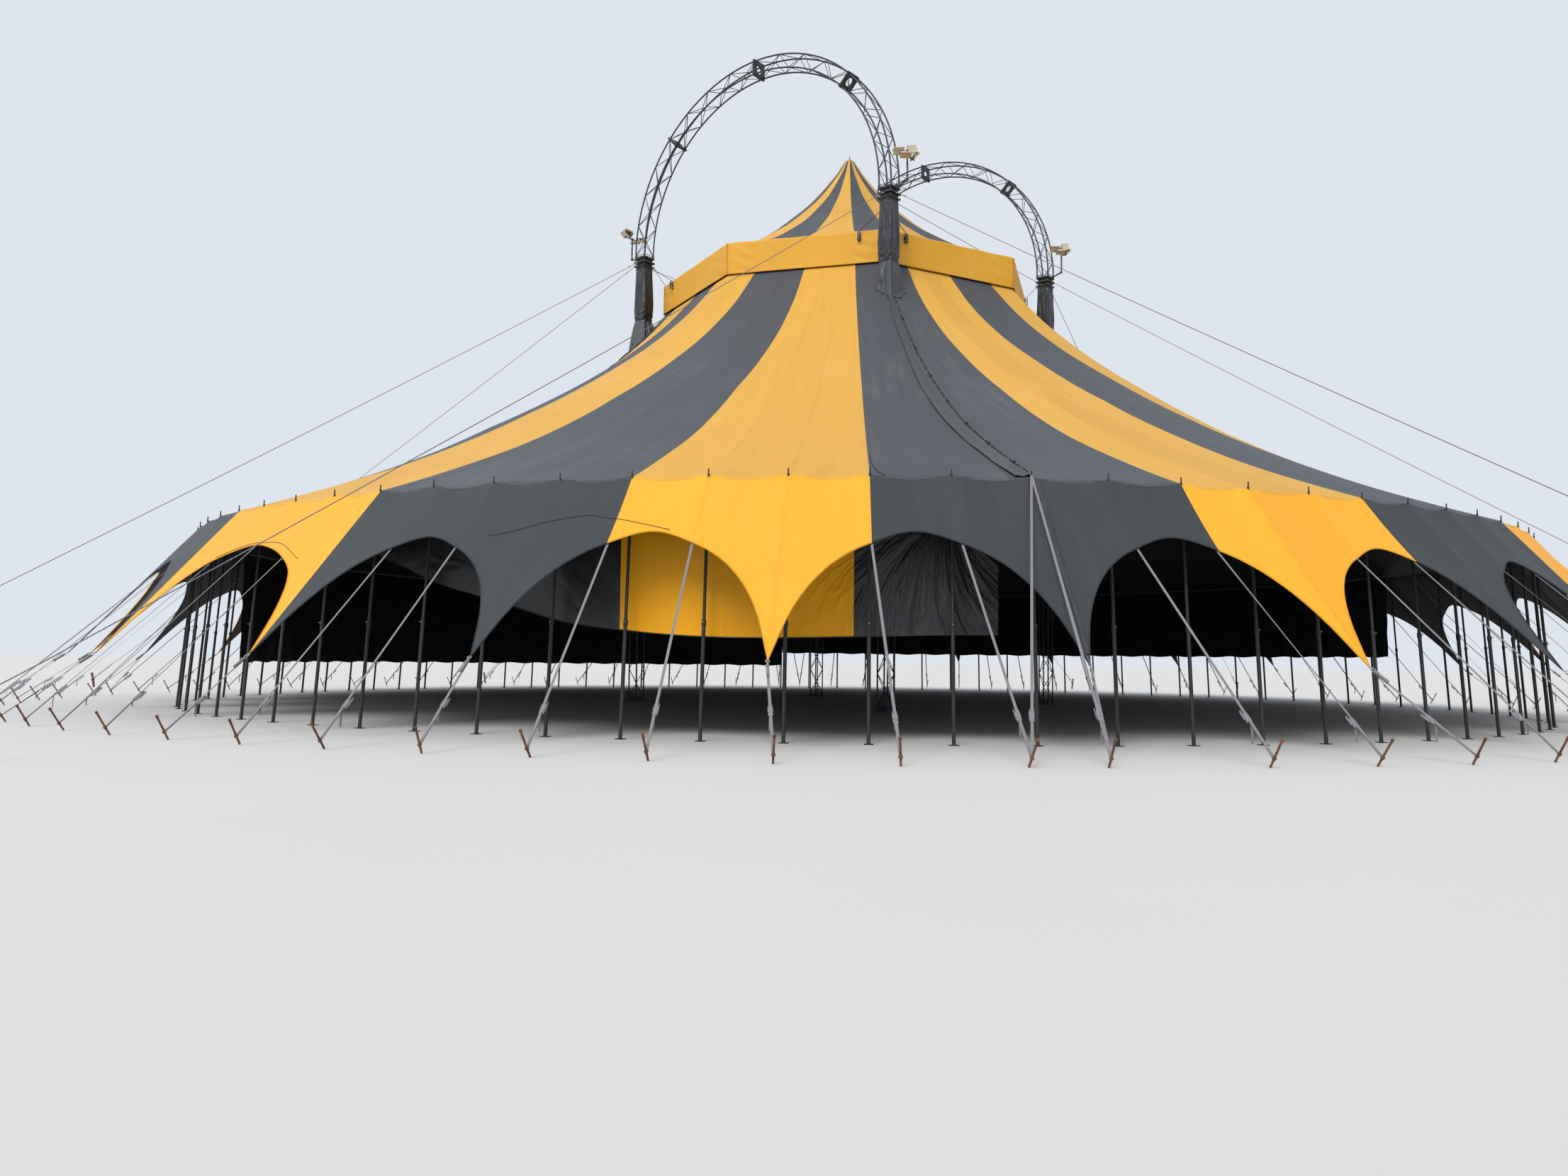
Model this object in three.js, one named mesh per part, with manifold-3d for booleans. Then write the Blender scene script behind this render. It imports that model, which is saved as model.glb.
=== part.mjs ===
// Circus big top: round striped tent on four lattice masts with two lattice arches over the crown.
// Model at 1:2 of the real tent. Units are millimetres, +Z is up, the floor is z = 0, the origin is
// the middle of the tent on the floor, and the two arches run along X.
import * as THREE from "three";
import { mergeVertices } from "three/addons/utils/BufferGeometryUtils.js";
import Module from "manifold-3d";

const wasm = await Module();
wasm.setup();
const { Manifold, Mesh } = wasm;

// Driving dimensions, in metres of the real tent
const M = 500;              // millimetres of the model for one metre of the real tent
const GAP = 0.3;            // millimetres of the model left between two pieces that touch

const EAVE_R = 22.0;        // radius of the main roof at the side poles
const EAVE_Z = 5.13;        // height of the eave
const SPANS = 22;           // side-pole spans in one quarter of the tent
const SECTOR_PINS = [0, 2, 5, 9, 13, 17, 20, 22];         // side poles at the edges of the stripes
const SECTOR_AZ = [0, 7.5, 22.5, 37.5, 52.5, 67.5, 82.5, 90];  // the same edges at the crown, degrees

const MAST_XY = 5.515;      // each mast stands at +-x, +-y
const MAST_TOP = 16.25;     // top of the mast truss
const MAST_HALF = 0.188;    // half the spacing of the mast's chords
const MAST_CHORD_R = 0.026;
const TRUSS = 0.23;         // half the spacing of the arches' chords
const CHORD_R = 0.028;      // radius of an arch chord
const BRACE_R = 0.017;      // radius of a truss brace
const HEAD_TOP = 16.60;     // top of the mast head
const HEAD_HALF = 0.262;    // half width of the head plates
const HEAD_BODY = 0.22;     // half width of the head between its plates

const ARCH_SPRING = 16.70;  // height where the straight legs of an arch end
const JOINT_AZ = [45, 90, 135];   // places of the joint plates along an arch, degrees

const RING_R = 7.04;        // corner radius of the eight-sided valance
const VALANCE_Z0 = 14.52;   // lower edge of the valance
const VALANCE_Z1 = 15.57;   // upper edge of the valance
const RING_Z0 = 14.56;      // underside of the crown ring
const RING_Z1 = 15.50;      // top of the crown ring
const RING_TUBE = 0.10;     // width of the crown ring tubes
const VALANCE_T = 0.024;    // thickness of the valance at the middle of a side

// Meridians as [radius, height], from the crown outwards
const ROOF = [[6.90, 14.56], [8, 13.3], [9.4, 12.0], [11.5, 10.4], [14, 8.75], [17, 7.15], [20, 5.87],
  [EAVE_R, EAVE_Z]];
const CAP = [[6.98, 15.535], [5.4, 16.2], [4.3, 16.83], [3.3, 17.47], [2.4, 18.2], [1.6, 18.95],
  [1.0, 19.65], [0.5, 20.3], [0.12, 20.85]];
const ROOF_T = 0.03;        // thickness of the roof canvas, measured upright
const ROOF_STEP = 2;        // side-pole spans in one facet of the roof
const CAP_T = 0.035;
const CAP_SIDES = 24;       // facets round the cap

const AWNING_SLOPE = 1.18;  // fall of the awning for each metre outwards
const AWNING_T = 0.035;     // thickness of the awning canvas, measured upright
const TIP_R = 25.05;        // radius at the tips of the awning
const HEM_NEAR = 23.65;     // radius half a span away from a tip
const HEM_STRAP = 23.2;     // radius at the other straps
const HEM_ARCH = 22.9;      // radius between those straps
const TIPS = [0, 3, 6, 9, 13, 16, 19, 22];

const POLE_R = 0.04;        // radius of a side pole
const POLE_FOOT = 22.35;    // the side poles lean outwards to this radius on the floor
const POLE_TOP = 5.0;
const PIN_TOP = 5.27;       // top of the pin that stands out of the eave
const PIN_R = 0.016;
const STRAP_W = 0.05;       // width of the webbing straps
const STRAP_T = 0.012;
const STAKE_FOOT = 26.8;    // radius of the ground stakes
const STAKE_TOP = [27.07, 0.45];
const STRAP_END = [26.9, 0.15];
const STAKE_SHIFT = 0.16;   // side-pole spans from a pole to its stake, towards +azimuth
const SEAM_SHIFT = -0.2;    // the same at the poles in line with the masts

const GUY_Z = 16.43;        // height of the guy collar
const GUY_R = 0.015;        // radius of a guy cable
// Anchor places of the guy cables, [x, y], two for each mast
const ANCHORS = [
  [[-8.0, -29.9], [-30.8, -14.4]], [[6.9, -31.25], [30.8, -12.0]],
  [[30.1, 7.45], [4.75, 30.6]], [[-5.3, 31.25], [-30.3, 6.4]]];

const HOIST_T = 0.78;       // distance of a hoist block from the line between the middle and its mast
const HOIST_Z = [15.24, 15.54];  // underside and top of a hoist block
const LAMP_POST_X = 0.68;   // distance of the lamp post from the middle of its mast
const LAMP_ARM_RISE = 0.12; // height of the arm above the mast head at the post
const LAMP_Z = 0.97;        // height of the lamps above the mast head

const CURTAIN_R = 21.82;    // radius of the hanging side curtains
// Each curtain hangs along a stretch of a quarter; low lists its lower edge as [side pole, height]
const CURTAINS = [
  { name: "side_curtain_front", quarter: 0, from: 12, to: 21.62,
    low: [[12, 4.2], [13, 3.7], [14, 3.12], [15, 2.72], [16, 2.3], [17, 2.1], [21.62, 2.1]] },
  { name: "side_curtain_back", quarter: 2, from: 0, to: 22, low: [[0, 2.0], [22, 2.0]] },
  { name: "side_curtain_left", quarter: 3, from: 0, to: 22, low: [[0, 1.3], [22, 1.3]] }];

const COLORS = {
  yellow: 0xe9aa3a, dark: 0x5a6068, black: 0x1c1e20, steel: 0x2b3138, pole: 0x6f747a, lamp: 0xb5a68a,
  cable: 0x3c3f42, block: 0x17191b, curtain: 0x3f444a };

// Helpers
const rad = (deg) => deg * Math.PI / 180;
const lerp = (a, b, t) => a + (b - a) * t;
const clamp01 = (t) => Math.min(1, Math.max(0, t));
// Azimuth is counted from -Y towards +X; radius and height in metres; the result in millimetres
const polar = (r, az, z) => [r * M * Math.sin(az), -r * M * Math.cos(az), z * M];
// Azimuth of side pole u of a quarter; quarter 0 is the front one, from -45 to +45 degrees
const pinAz = (q, u) => rad(-45 + 90 * q + 90 * u / SPANS);
const stakeAz = (q, u) => pinAz(q, u + (u === 0 ? SEAM_SHIFT : STAKE_SHIFT));

function along(list, x) {
  for (let i = 0; i < list.length - 1; i++) {
    const [a, b] = [list[i], list[i + 1]];
    if (x <= b[0] || i === list.length - 2) return lerp(a[1], b[1], (x - a[0]) / (b[0] - a[0]));
  }
}
// Radius factor of the eight-sided crown: 1 at its corners
const octagon = (az) => {
  const a = (((az * 180 / Math.PI + 360) % 45) - 22.5) * Math.PI / 180;
  return Math.cos(Math.PI / 8) / Math.cos(a);
};
const crownAz = (q, u) => rad(-45 + 90 * q + along(SECTOR_PINS.map((p, i) => [p, SECTOR_AZ[i]]), u));

// Solid from points and faces given as lists of point numbers
function solid(points, faces) {
  const pos = [], idx = [];
  for (const p of points) pos.push(...p);
  for (const f of faces) for (let i = 1; i < f.length - 1; i++) idx.push(f[0], f[i], f[i + 1]);
  let volume = 0;
  for (let i = 0; i < idx.length; i += 3) {
    const [a, b, c] = [points[idx[i]], points[idx[i + 1]], points[idx[i + 2]]];
    volume += a[0] * (b[1] * c[2] - b[2] * c[1]) - a[1] * (b[0] * c[2] - b[2] * c[0])
      + a[2] * (b[0] * c[1] - b[1] * c[0]);
  }
  if (volume < 0) {
    for (let i = 0; i < idx.length; i += 3) [idx[i + 1], idx[i + 2]] = [idx[i + 2], idx[i + 1]];
  }
  const g = new THREE.BufferGeometry();
  g.setAttribute("position", new THREE.Float32BufferAttribute(pos, 3));
  g.setIndex(idx);
  return g;
}

// Sheet with thickness: rows of points for its outer face and the matching rows of its inner face
function sheet(outer, inner, closed = false, lidded = false) {
  const rows = outer.length, cols = outer[0].length, n = rows * cols;
  const points = [...outer.flat(), ...inner.flat()], faces = [];
  const o = (i, j) => i * cols + (j % cols), k = (i, j) => n + i * cols + (j % cols);
  const last = closed ? cols : cols - 1;
  for (let i = 0; i < rows - 1; i++) {
    for (let j = 0; j < last; j++) {
      faces.push([o(i, j), o(i, j + 1), o(i + 1, j + 1), o(i + 1, j)]);
      faces.push([k(i, j + 1), k(i, j), k(i + 1, j), k(i + 1, j + 1)]);
    }
    if (!closed) {
      faces.push([o(i + 1, 0), k(i + 1, 0), k(i, 0), o(i, 0)]);
      faces.push([o(i, last), k(i, last), k(i + 1, last), o(i + 1, last)]);
    }
  }
  for (let j = 0; j < last; j++) faces.push([o(0, j + 1), o(0, j), k(0, j), k(0, j + 1)]);
  if (lidded) {
    faces.push([...Array(cols).keys()].map((j) => o(rows - 1, j)));
    faces.push([...Array(cols).keys()].map((j) => k(rows - 1, cols - 1 - j)));
  } else {
    for (let j = 0; j < last; j++) {
      faces.push([o(rows - 1, j), o(rows - 1, j + 1), k(rows - 1, j + 1), k(rows - 1, j)]);
    }
  }
  return solid(points, faces);
}

// Bar through sections: each section is a ring of points with the same count
function loft(sections) {
  const n = sections[0].length, points = sections.flat(), faces = [];
  for (let i = 0; i < sections.length - 1; i++) {
    for (let j = 0; j < n; j++) {
      const k = (j + 1) % n;
      faces.push([i * n + j, i * n + k, (i + 1) * n + k, (i + 1) * n + j]);
    }
  }
  faces.push([...Array(n).keys()].reverse());
  faces.push([...Array(n).keys()].map((j) => (sections.length - 1) * n + j));
  return solid(points, faces);
}

// Straight bar of given radius (mm) between two points (mm), with square-cut ends
function bar(a, b, r, sides = 4, turn = Math.PI / 4) {
  const p = new THREE.Vector3(...a), q = new THREE.Vector3(...b);
  const d = q.clone().sub(p).normalize();
  const up = Math.abs(d.z) > 0.95 ? new THREE.Vector3(1, 0, 0) : new THREE.Vector3(0, 0, 1);
  const u = new THREE.Vector3().crossVectors(up, d).normalize();
  const v = new THREE.Vector3().crossVectors(d, u);
  const ring = (c) => [...Array(sides).keys()].map((i) => {
    const t = turn + 2 * Math.PI * i / sides;
    return c.clone().addScaledVector(u, r * Math.cos(t)).addScaledVector(v, r * Math.sin(t)).toArray();
  });
  return loft([ring(p), ring(q)]);
}

// Level polygon round a point, and a bar whose two ends are such polygons
const level = (c, r, sides) => [...Array(sides).keys()].map((i) => {
  const t = 2 * Math.PI * i / sides;
  return [c[0] + r * Math.cos(t), c[1] + r * Math.sin(t), c[2]];
});
const post = (a, b, r, sides = 6) => loft([level(a, r, sides), level(b, r, sides)]);

// Upright box between two corners, mm
function box(x0, y0, z0, x1, y1, z1) {
  const g = new THREE.BoxGeometry(x1 - x0, y1 - y0, z1 - z0);
  g.translate((x0 + x1) / 2, (y0 + y1) / 2, (z0 + z1) / 2);
  return g;
}

// Joining and cutting of closed bodies
function toManifold(g) {
  let h = g.clone();
  h.deleteAttribute("normal");
  h.deleteAttribute("uv");
  h = mergeVertices(h, 1e-4);
  return new Manifold(new Mesh({
    numProp: 3, vertProperties: new Float32Array(h.attributes.position.array),
    triVerts: new Uint32Array(h.index.array) }));
}
function fromManifold(m) {
  const mesh = m.getMesh(), g = new THREE.BufferGeometry();
  g.setAttribute("position", new THREE.BufferAttribute(new Float32Array(mesh.vertProperties), 3));
  g.setIndex(new THREE.BufferAttribute(new Uint32Array(mesh.triVerts), 1));
  return g;
}
const join = (list) => fromManifold(Manifold.union(list.map(toManifold)).simplify(0.1));
const cut = (g, tools) => fromManifold(tools.reduce((m, t) => m.subtract(toManifold(t)), toManifold(g)));

// The model
const group = new THREE.Group();
group.name = "circus_big_top";
function add(name, geometry, color, metalness = 0, roughness = 0.7) {
  const flat = geometry.index ? geometry.toNonIndexed() : geometry;
  flat.computeVertexNormals();
  const mesh = new THREE.Mesh(flat, new THREE.MeshStandardMaterial({ color, metalness, roughness }));
  mesh.name = name;
  group.add(mesh);
}

const masts = [[-1, -1], [1, -1], [1, 1], [-1, 1]].map(([sx, sy], i) => ({
  n: i + 1, sx, sy, x: sx * MAST_XY, y: sy * MAST_XY }));
const mastAz = (i) => rad(-45 + 90 * i);
const at = (m, x, y, z) => [(m.x + x) * M, (m.y + y) * M, z * M];

// Main roof: four quarters, from mast to mast
const blend = (r) => clamp01((r - ROOF[0][0]) / 7);
function roofPoint(q, u, r, z) {
  const t = clamp01((r - ROOF[0][0]) / (EAVE_R - ROOF[0][0]));
  const az = lerp(crownAz(q, u), pinAz(q, u), t);
  return polar(r * lerp(octagon(crownAz(q, u)), 1, blend(r)), az, z);
}
const roofZ = (r) => along(ROOF, r);
// Height of the roof over a place on the floor, for the pieces that lie on it
function roofHeight(x, y) {
  const rho = Math.hypot(x, y), oct = octagon(Math.atan2(x, -y));
  let [low, high] = [ROOF[0][0], EAVE_R];
  for (let i = 0; i < 40; i++) {
    const r = (low + high) / 2;
    if (r * lerp(oct, 1, blend(r)) < rho) low = r; else high = r;
  }
  return roofZ(low);
}
function roofQuarter(q) {
  const us = [...Array(SPANS / ROOF_STEP + 1).keys()].map((i) => i * ROOF_STEP);
  const rim = EAVE_R - 8 / M - GAP / M;
  const rows = ROOF.map(([r, z]) => (r === EAVE_R ? [rim, roofZ(rim)] : [r, z]));
  const face = (drop) => rows.map(([r, z]) => us.map((u) => roofPoint(q, u, r, z - drop)));
  // The seam between two quarters is open by a little more than the touching gap
  const half = GAP;
  const quarter = sheet(face(0), face(ROOF_T));
  const seams = [0, 1].map((k) => {
    const g = box(-half, 0, 0, half, EAVE_R * M + 200, 20 * M);
    g.rotateZ(Math.PI + mastAz(q + k));
    return g;
  });
  const holes = [masts[q], masts[(q + 1) % 4]].map((m) => box(
    (m.x - 0.30) * M, (m.y - 0.30) * M, 10 * M, (m.x + 0.30) * M, (m.y + 0.30) * M, 18 * M));
  return cut(quarter, [...seams, ...holes]);
}
for (let q = 0; q < 4; q++) add(`roof_canvas_${q + 1}`, roofQuarter(q), COLORS.yellow, 0, 0.65);

// Awning: the scalloped skirt outside the side poles
function hemRadius(u) {
  const near = Math.min(...TIPS.map((t) => Math.abs(t - u)));
  if (near === 0) return TIP_R;
  if (near === 0.5) return HEM_NEAR;
  return Number.isInteger(u) ? HEM_STRAP : HEM_ARCH;
}
// Points halfway between two poles lie on the straight line between them
const chord = (u) => (Number.isInteger(u) ? 1 : Math.cos(Math.PI / (4 * SPANS)));
const awningZ = (r) => EAVE_Z - AWNING_SLOPE * (r - EAVE_R);
function awningQuarter(q) {
  const top = EAVE_R + 8 / M + GAP / M;
  const us = [...Array(2 * SPANS + 1).keys()].map((i) => i / 2);
  const row = (f, drop) => us.map((u) => {
    const r = f(u);
    return polar(r * chord(u), pinAz(q, u), awningZ(r) - drop);
  });
  const g = sheet([row(() => top, 0), row(hemRadius, 0)],
    [row(() => top, AWNING_T), row(hemRadius, AWNING_T)]);
  const seams = [0, 1].map((k) => {
    const s = box(-GAP, 20 * M, 0, GAP, 27 * M, 6 * M);
    s.rotateZ(Math.PI + mastAz(q + k));
    return s;
  });
  return cut(g, seams);
}
for (let q = 0; q < 4; q++) add(`awning_${q + 1}`, awningQuarter(q), COLORS.yellow, 0, 0.6);

// Side poles with the eave band, the webbing straps and the ground stakes
function sidePoles(q) {
  const parts = [];
  const bandUs = [-0.5, ...Array(SPANS).keys(), SPANS - 0.5];
  parts.push(loft(bandUs.map((u) => {
    const end = (u < 0 ? GAP : u > SPANS - 1 ? -GAP : 0) / M;
    const az = pinAz(q, u) + end / EAVE_R;
    return [[-8, 5.085], [8, 5.085], [8, 5.145], [-8, 5.145]].map(([d, z]) => polar(
      (EAVE_R + d / M) * chord(u), az, z));
  })));
  for (let u = 0; u < SPANS; u++) {
    const az = pinAz(q, u);
    parts.push(loft([[POLE_FOOT, 0, POLE_R], [EAVE_R, POLE_TOP - 0.03, POLE_R], [EAVE_R, POLE_TOP, PIN_R],
      [EAVE_R, PIN_TOP, PIN_R]].map(([r, z, w]) => level(polar(r, az, z), w * M, 4))));
    const hem = hemRadius(u);
    const end = stakeAz(q, u);
    const path = [[EAVE_R, 4.93, az], [hem, awningZ(hem) - AWNING_T - 0.02, az], [...STRAP_END, end]];
    const side = [Math.cos(az), Math.sin(az)];
    parts.push(loft(path.map(([r, z, a]) => [[0, -1], [1, 1], [-1, 1]].map(([s, t]) => {
      const p = polar(r, a, z + t * STRAP_T / 2);
      return [p[0] + s * STRAP_W * M / 2 * side[0], p[1] + s * STRAP_W * M / 2 * side[1], p[2]];
    }))));
    parts.push(post(polar(STAKE_FOOT, end, 0), polar(STAKE_TOP[0], end, STAKE_TOP[1]), 0.03 * M, 3));
  }
  return join(parts);
}
for (let q = 0; q < 4; q++) add(`side_poles_${q + 1}`, sidePoles(q), COLORS.pole, 0.4, 0.5);

// Crown: ring frame, valance and cap
const octRing = (r, z) => [...Array(8).keys()].map((i) => polar(r, rad(45 * i), z));
const valanceInner = RING_R - VALANCE_T / Math.cos(Math.PI / 8);
add("valance", sheet([octRing(RING_R, VALANCE_Z0), octRing(RING_R, VALANCE_Z1)],
  [octRing(valanceInner, VALANCE_Z0), octRing(valanceInner, VALANCE_Z1)], true), COLORS.yellow, 0, 0.6);

function crownRing() {
  const outer = valanceInner - 2 * GAP / M;
  const hoop = (z) => sheet([octRing(outer, z), octRing(outer, z + RING_TUBE)],
    [octRing(outer - RING_TUBE, z), octRing(outer - RING_TUBE, z + RING_TUBE)], true);
  const parts = [hoop(RING_Z0 + GAP / M), hoop(RING_Z1 - RING_TUBE)];
  const mid = outer - RING_TUBE / 2;
  for (let i = 0; i < 8; i++) {
    const az = rad(45 * i);
    parts.push(bar(polar(mid, az, RING_Z0 + 0.05), polar(mid, az, RING_Z1 - 0.05), 0.04 * M));
    parts.push(bar(polar(mid, az, RING_Z0 + 0.05), polar(0, az, RING_Z0 + 0.25), 0.035 * M));
  }
  parts.push(post(polar(0, 0, RING_Z0 + 0.1), polar(0, 0, 20.79), 0.06 * M, 8));
  return join(parts);
}
add("crown_ring", crownRing(), COLORS.steel, 0.6, 0.5);

function cap() {
  const face = (drop, shrink) => CAP.map(([r, z]) => [...Array(CAP_SIDES).keys()].map((j) => {
    const az = rad(360 * j / CAP_SIDES);
    const round = clamp01((CAP[0][0] - r) / 4.5);
    return polar(Math.max(0.07, r - shrink) * lerp(octagon(az), 1, round), az, z - drop);
  }));
  return sheet(face(0, 0), face(CAP_T, 0.012), true, true);
}
add("crown_cap", cap(), COLORS.yellow, 0, 0.6);

add("cap_finial", join([
  post(polar(0, 0, 20.85 + GAP / M), polar(0, 0, 20.9), 0.09 * M, 8),
  post(polar(0, 0, 20.88), polar(0, 0, 21.07), 0.02 * M, 6)]), COLORS.steel, 0.6, 0.5);

// Masts
const corners = [[-1, -1], [1, -1], [1, 1], [-1, 1]];
function mast(m) {
  const parts = [box((m.x - 0.4) * M, (m.y - 0.4) * M, 0, (m.x + 0.4) * M, (m.y + 0.4) * M, 0.04 * M)];
  for (const [cx, cy] of corners) {
    const x = cx * MAST_HALF, y = cy * MAST_HALF;
    parts.push(post(at(m, x, y, 0.02), at(m, x, y, MAST_TOP - GAP / M), MAST_CHORD_R * M, 6));
  }
  const bays = 5, low = 0.15, high = MAST_TOP - 0.15;
  for (let i = 0; i < bays; i++) {
    const z0 = lerp(low, high, i / bays), z1 = lerp(low, high, (i + 1) / bays);
    for (let k = 0; k < 4; k++) {
      const [a, b] = (i + k) % 2 ? [corners[k], corners[(k + 1) % 4]] : [corners[(k + 1) % 4], corners[k]];
      const [ax, ay, bx, by] = [...a, ...b].map((c) => c * MAST_HALF);
      parts.push(bar(at(m, ax, ay, z0), at(m, bx, by, z1), BRACE_R * M, 3));
    }
  }
  return join(parts);
}
for (const m of masts) add(`mast_${m.n}`, mast(m), COLORS.steel, 0.6, 0.5);

function head(m) {
  const plate = (half, z0, z1) => box((m.x - half) * M, (m.y - half) * M, z0 * M,
    (m.x + half) * M, (m.y + half) * M, z1 * M);
  return join([plate(HEAD_HALF, MAST_TOP, MAST_TOP + 0.05),
    plate(HEAD_BODY, MAST_TOP + 0.02, HEAD_TOP - 0.02),
    plate(HEAD_HALF, HEAD_TOP - 0.05, HEAD_TOP)]);
}
for (const m of masts) add(`mast_head_${m.n}`, head(m), COLORS.black, 0.5, 0.5);

// Sleeve of shiny cloth round the mast, from the head down to a flared skirt on the roof
function sleeve(m) {
  // Three points at each corner: two on the sides and one on the diagonal
  const around = (half, side, diagonal, height) => corners.flatMap(([cx, cy], k) => {
    const three = [[cx * half * side, cy * half], [cx * half * diagonal, cy * half * diagonal],
      [cx * half, cy * half * side]];
    return (k % 2 ? three : three.reverse()).map(([x, y]) => at(m, x, y, height(m.x + x, m.y + y)));
  });
  const ring = (half, z) => around(half, 0.85, 0.925, () => z);
  const skirt = (reach, lift) => around(reach, 0.5, 0.8, (x, y) => roofHeight(x, y) + lift);
  const top = MAST_TOP - GAP / M;
  const outer = [ring(0.241, top), ring(0.27, 15.6), ring(0.295, 14.85), ring(0.256, 14.2),
    skirt(0.40, 0.24), skirt(0.53, 0.047)];
  const inner = [ring(0.228, top), ring(0.257, 15.6), ring(0.281, 14.85), ring(0.242, 14.2),
    skirt(0.386, 0.21), skirt(0.52, 0.0158)];
  return sheet(outer, inner, true);
}
for (const m of masts) add(`mast_sleeve_${m.n}`, sleeve(m), COLORS.black, 0, 0.35);

// Arches
function arch(y) {
  const parts = [];
  const steps = 14;
  const path = (d) => {
    const pts = [[MAST_XY + d, HEAD_TOP + 0.02]];
    for (let i = 0; i <= steps; i++) {
      const t = Math.PI * i / steps;
      pts.push([(MAST_XY + d) * Math.cos(t), ARCH_SPRING + (MAST_XY + d) * Math.sin(t)]);
    }
    pts.push([-(MAST_XY + d), HEAD_TOP + 0.02]);
    return pts;
  };
  const chordBar = (d, dy) => {
    const mid = path(d), w = CHORD_R;
    return loft(mid.map(([x, z], i) => {
      const t = Math.PI * Math.min(steps, Math.max(0, i - 1)) / steps;
      const grow = (i > 0 && i < mid.length - 1) ? 1 / Math.cos(Math.PI / steps / 2) : 1;
      return [[w, 0], [0, w], [-w, 0], [0, -w]].map(([a, b]) => [
        (x + a * grow * Math.cos(t)) * M, (y + dy + b) * M, (z + a * grow * Math.sin(t)) * M]);
    }));
  };
  for (const d of [-TRUSS, TRUSS]) for (const dy of [-TRUSS, TRUSS]) parts.push(chordBar(d, dy));
  // Braces: one zigzag on each upright face
  const on = (i, d, dy) => {
    const [x, z] = path(d)[i];
    return [x * M, (y + dy) * M, z * M];
  };
  for (let i = 1; i + 2 <= steps + 1; i += 2) {
    const flip = ((i - 1) / 2) % 2 ? 1 : -1;
    for (const s of [-1, 1]) {
      parts.push(bar(on(i, flip * TRUSS, s * TRUSS), on(i + 2, -flip * TRUSS, s * TRUSS), BRACE_R * M, 3));
    }
  }
  // Joint plates with a round hole, and the foot plates
  for (const deg of JOINT_AZ) {
    const plate = box(-0.29 * M, -0.29 * M, -0.03 * M, 0.29 * M, 0.29 * M, 0.03 * M);
    const hole = new THREE.CylinderGeometry(0.15 * M, 0.15 * M, 0.2 * M, 10);
    hole.rotateX(Math.PI / 2);
    const g = cut(plate, [hole]);
    g.rotateY(-rad(deg));
    g.translate(MAST_XY * Math.cos(rad(deg)) * M, y * M, (ARCH_SPRING + MAST_XY * Math.sin(rad(deg))) * M);
    parts.push(g);
  }
  for (const s of [-1, 1]) {
    parts.push(box((s * MAST_XY - HEAD_HALF) * M, (y - HEAD_HALF) * M, HEAD_TOP * M + GAP,
      (s * MAST_XY + HEAD_HALF) * M, (y + HEAD_HALF) * M, (HEAD_TOP + 0.04) * M));
  }
  return join(parts);
}
add("arch_front", arch(-MAST_XY), COLORS.steel, 0.6, 0.5);
add("arch_back", arch(MAST_XY), COLORS.steel, 0.6, 0.5);

// Guy cables: a collar round each mast head, two cables and their ground anchors
function guys(m, i) {
  const half = HEAD_BODY + 2 * GAP / M, wide = 0.28, z0 = GUY_Z - 0.03, z1 = GUY_Z + 0.03;
  const square = (w, low, high) => box((m.x - w) * M, (m.y - w) * M, low * M,
    (m.x + w) * M, (m.y + w) * M, high * M);
  const parts = [cut(square(wide, z0, z1), [square(half, 16, 17)])];
  for (const [x, y] of ANCHORS[i]) {
    const dx = x - m.x, dy = y - m.y, len = Math.hypot(dx, dy);
    const start = 0.26 / Math.max(Math.abs(dx), Math.abs(dy));
    const from = [(m.x + dx * start) * M, (m.y + dy * start) * M, GUY_Z * M];
    // The anchor leans away from the tent; the cable ends on its axis
    const foot = [x - 0.16 * dx / len, y - 0.16 * dy / len], hold = 0.36 / 0.62;
    const held = [lerp(foot[0], x, hold) * M, lerp(foot[1], y, hold) * M, 0.36 * M];
    parts.push(bar(from, held, GUY_R * M, 4, 0.9));
    parts.push(post([foot[0] * M, foot[1] * M, 0], [x * M, y * M, 0.62 * M], 0.05 * M, 4));
  }
  return join(parts);
}
masts.forEach((m, i) => add(`guy_cables_${m.n}`, guys(m, i), COLORS.cable, 0.5, 0.5));

// Stays between the heads of the masts at the open sides
for (const [name, s] of [["head_stay_right", 1], ["head_stay_left", -1]]) {
  const y = MAST_XY - HEAD_HALF - 2 * GAP / M;
  const end = (side) => [s * MAST_XY * M, side * y * M, (MAST_TOP + 0.025) * M];
  add(name, bar(end(-1), end(1), 0.012 * M, 5), COLORS.cable, 0.4, 0.6);
}

// Hoist blocks on the valance with their ropes up to the mast head
function hoist(m, i) {
  const az = mastAz(i);
  const local = (r, t, z) => [
    (r * Math.sin(az) + t * Math.cos(az)) * M, (-r * Math.cos(az) + t * Math.sin(az)) * M, z * M];
  const mastR = MAST_XY * Math.SQRT2;
  const lug = box(-0.045 * M, -0.045 * M, (MAST_TOP - 0.06) * M, 0.045 * M, 0.045 * M, MAST_TOP * M - GAP);
  lug.rotateZ(az);
  lug.translate(...local(mastR - 0.37, 0, 0));
  const parts = [lug];
  for (const s of [-1, 1]) {
    const out = RING_R - HOIST_T * Math.tan(Math.PI / 8) + 0.0602;
    const top = local(out, s * HOIST_T, HOIST_Z[1]);
    const block = box(-0.05 * M, -0.06 * M, HOIST_Z[0] * M, 0.05 * M, 0.055 * M, HOIST_Z[1] * M);
    block.rotateZ(az + s * Math.PI / 8);
    block.translate(...local(out, s * HOIST_T, 0));
    parts.push(block);
    parts.push(bar([top[0], top[1], top[2] - 10], local(mastR - 0.37, 0, MAST_TOP - 0.03), 0.014 * M, 4));
  }
  return join(parts);
}
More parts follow.
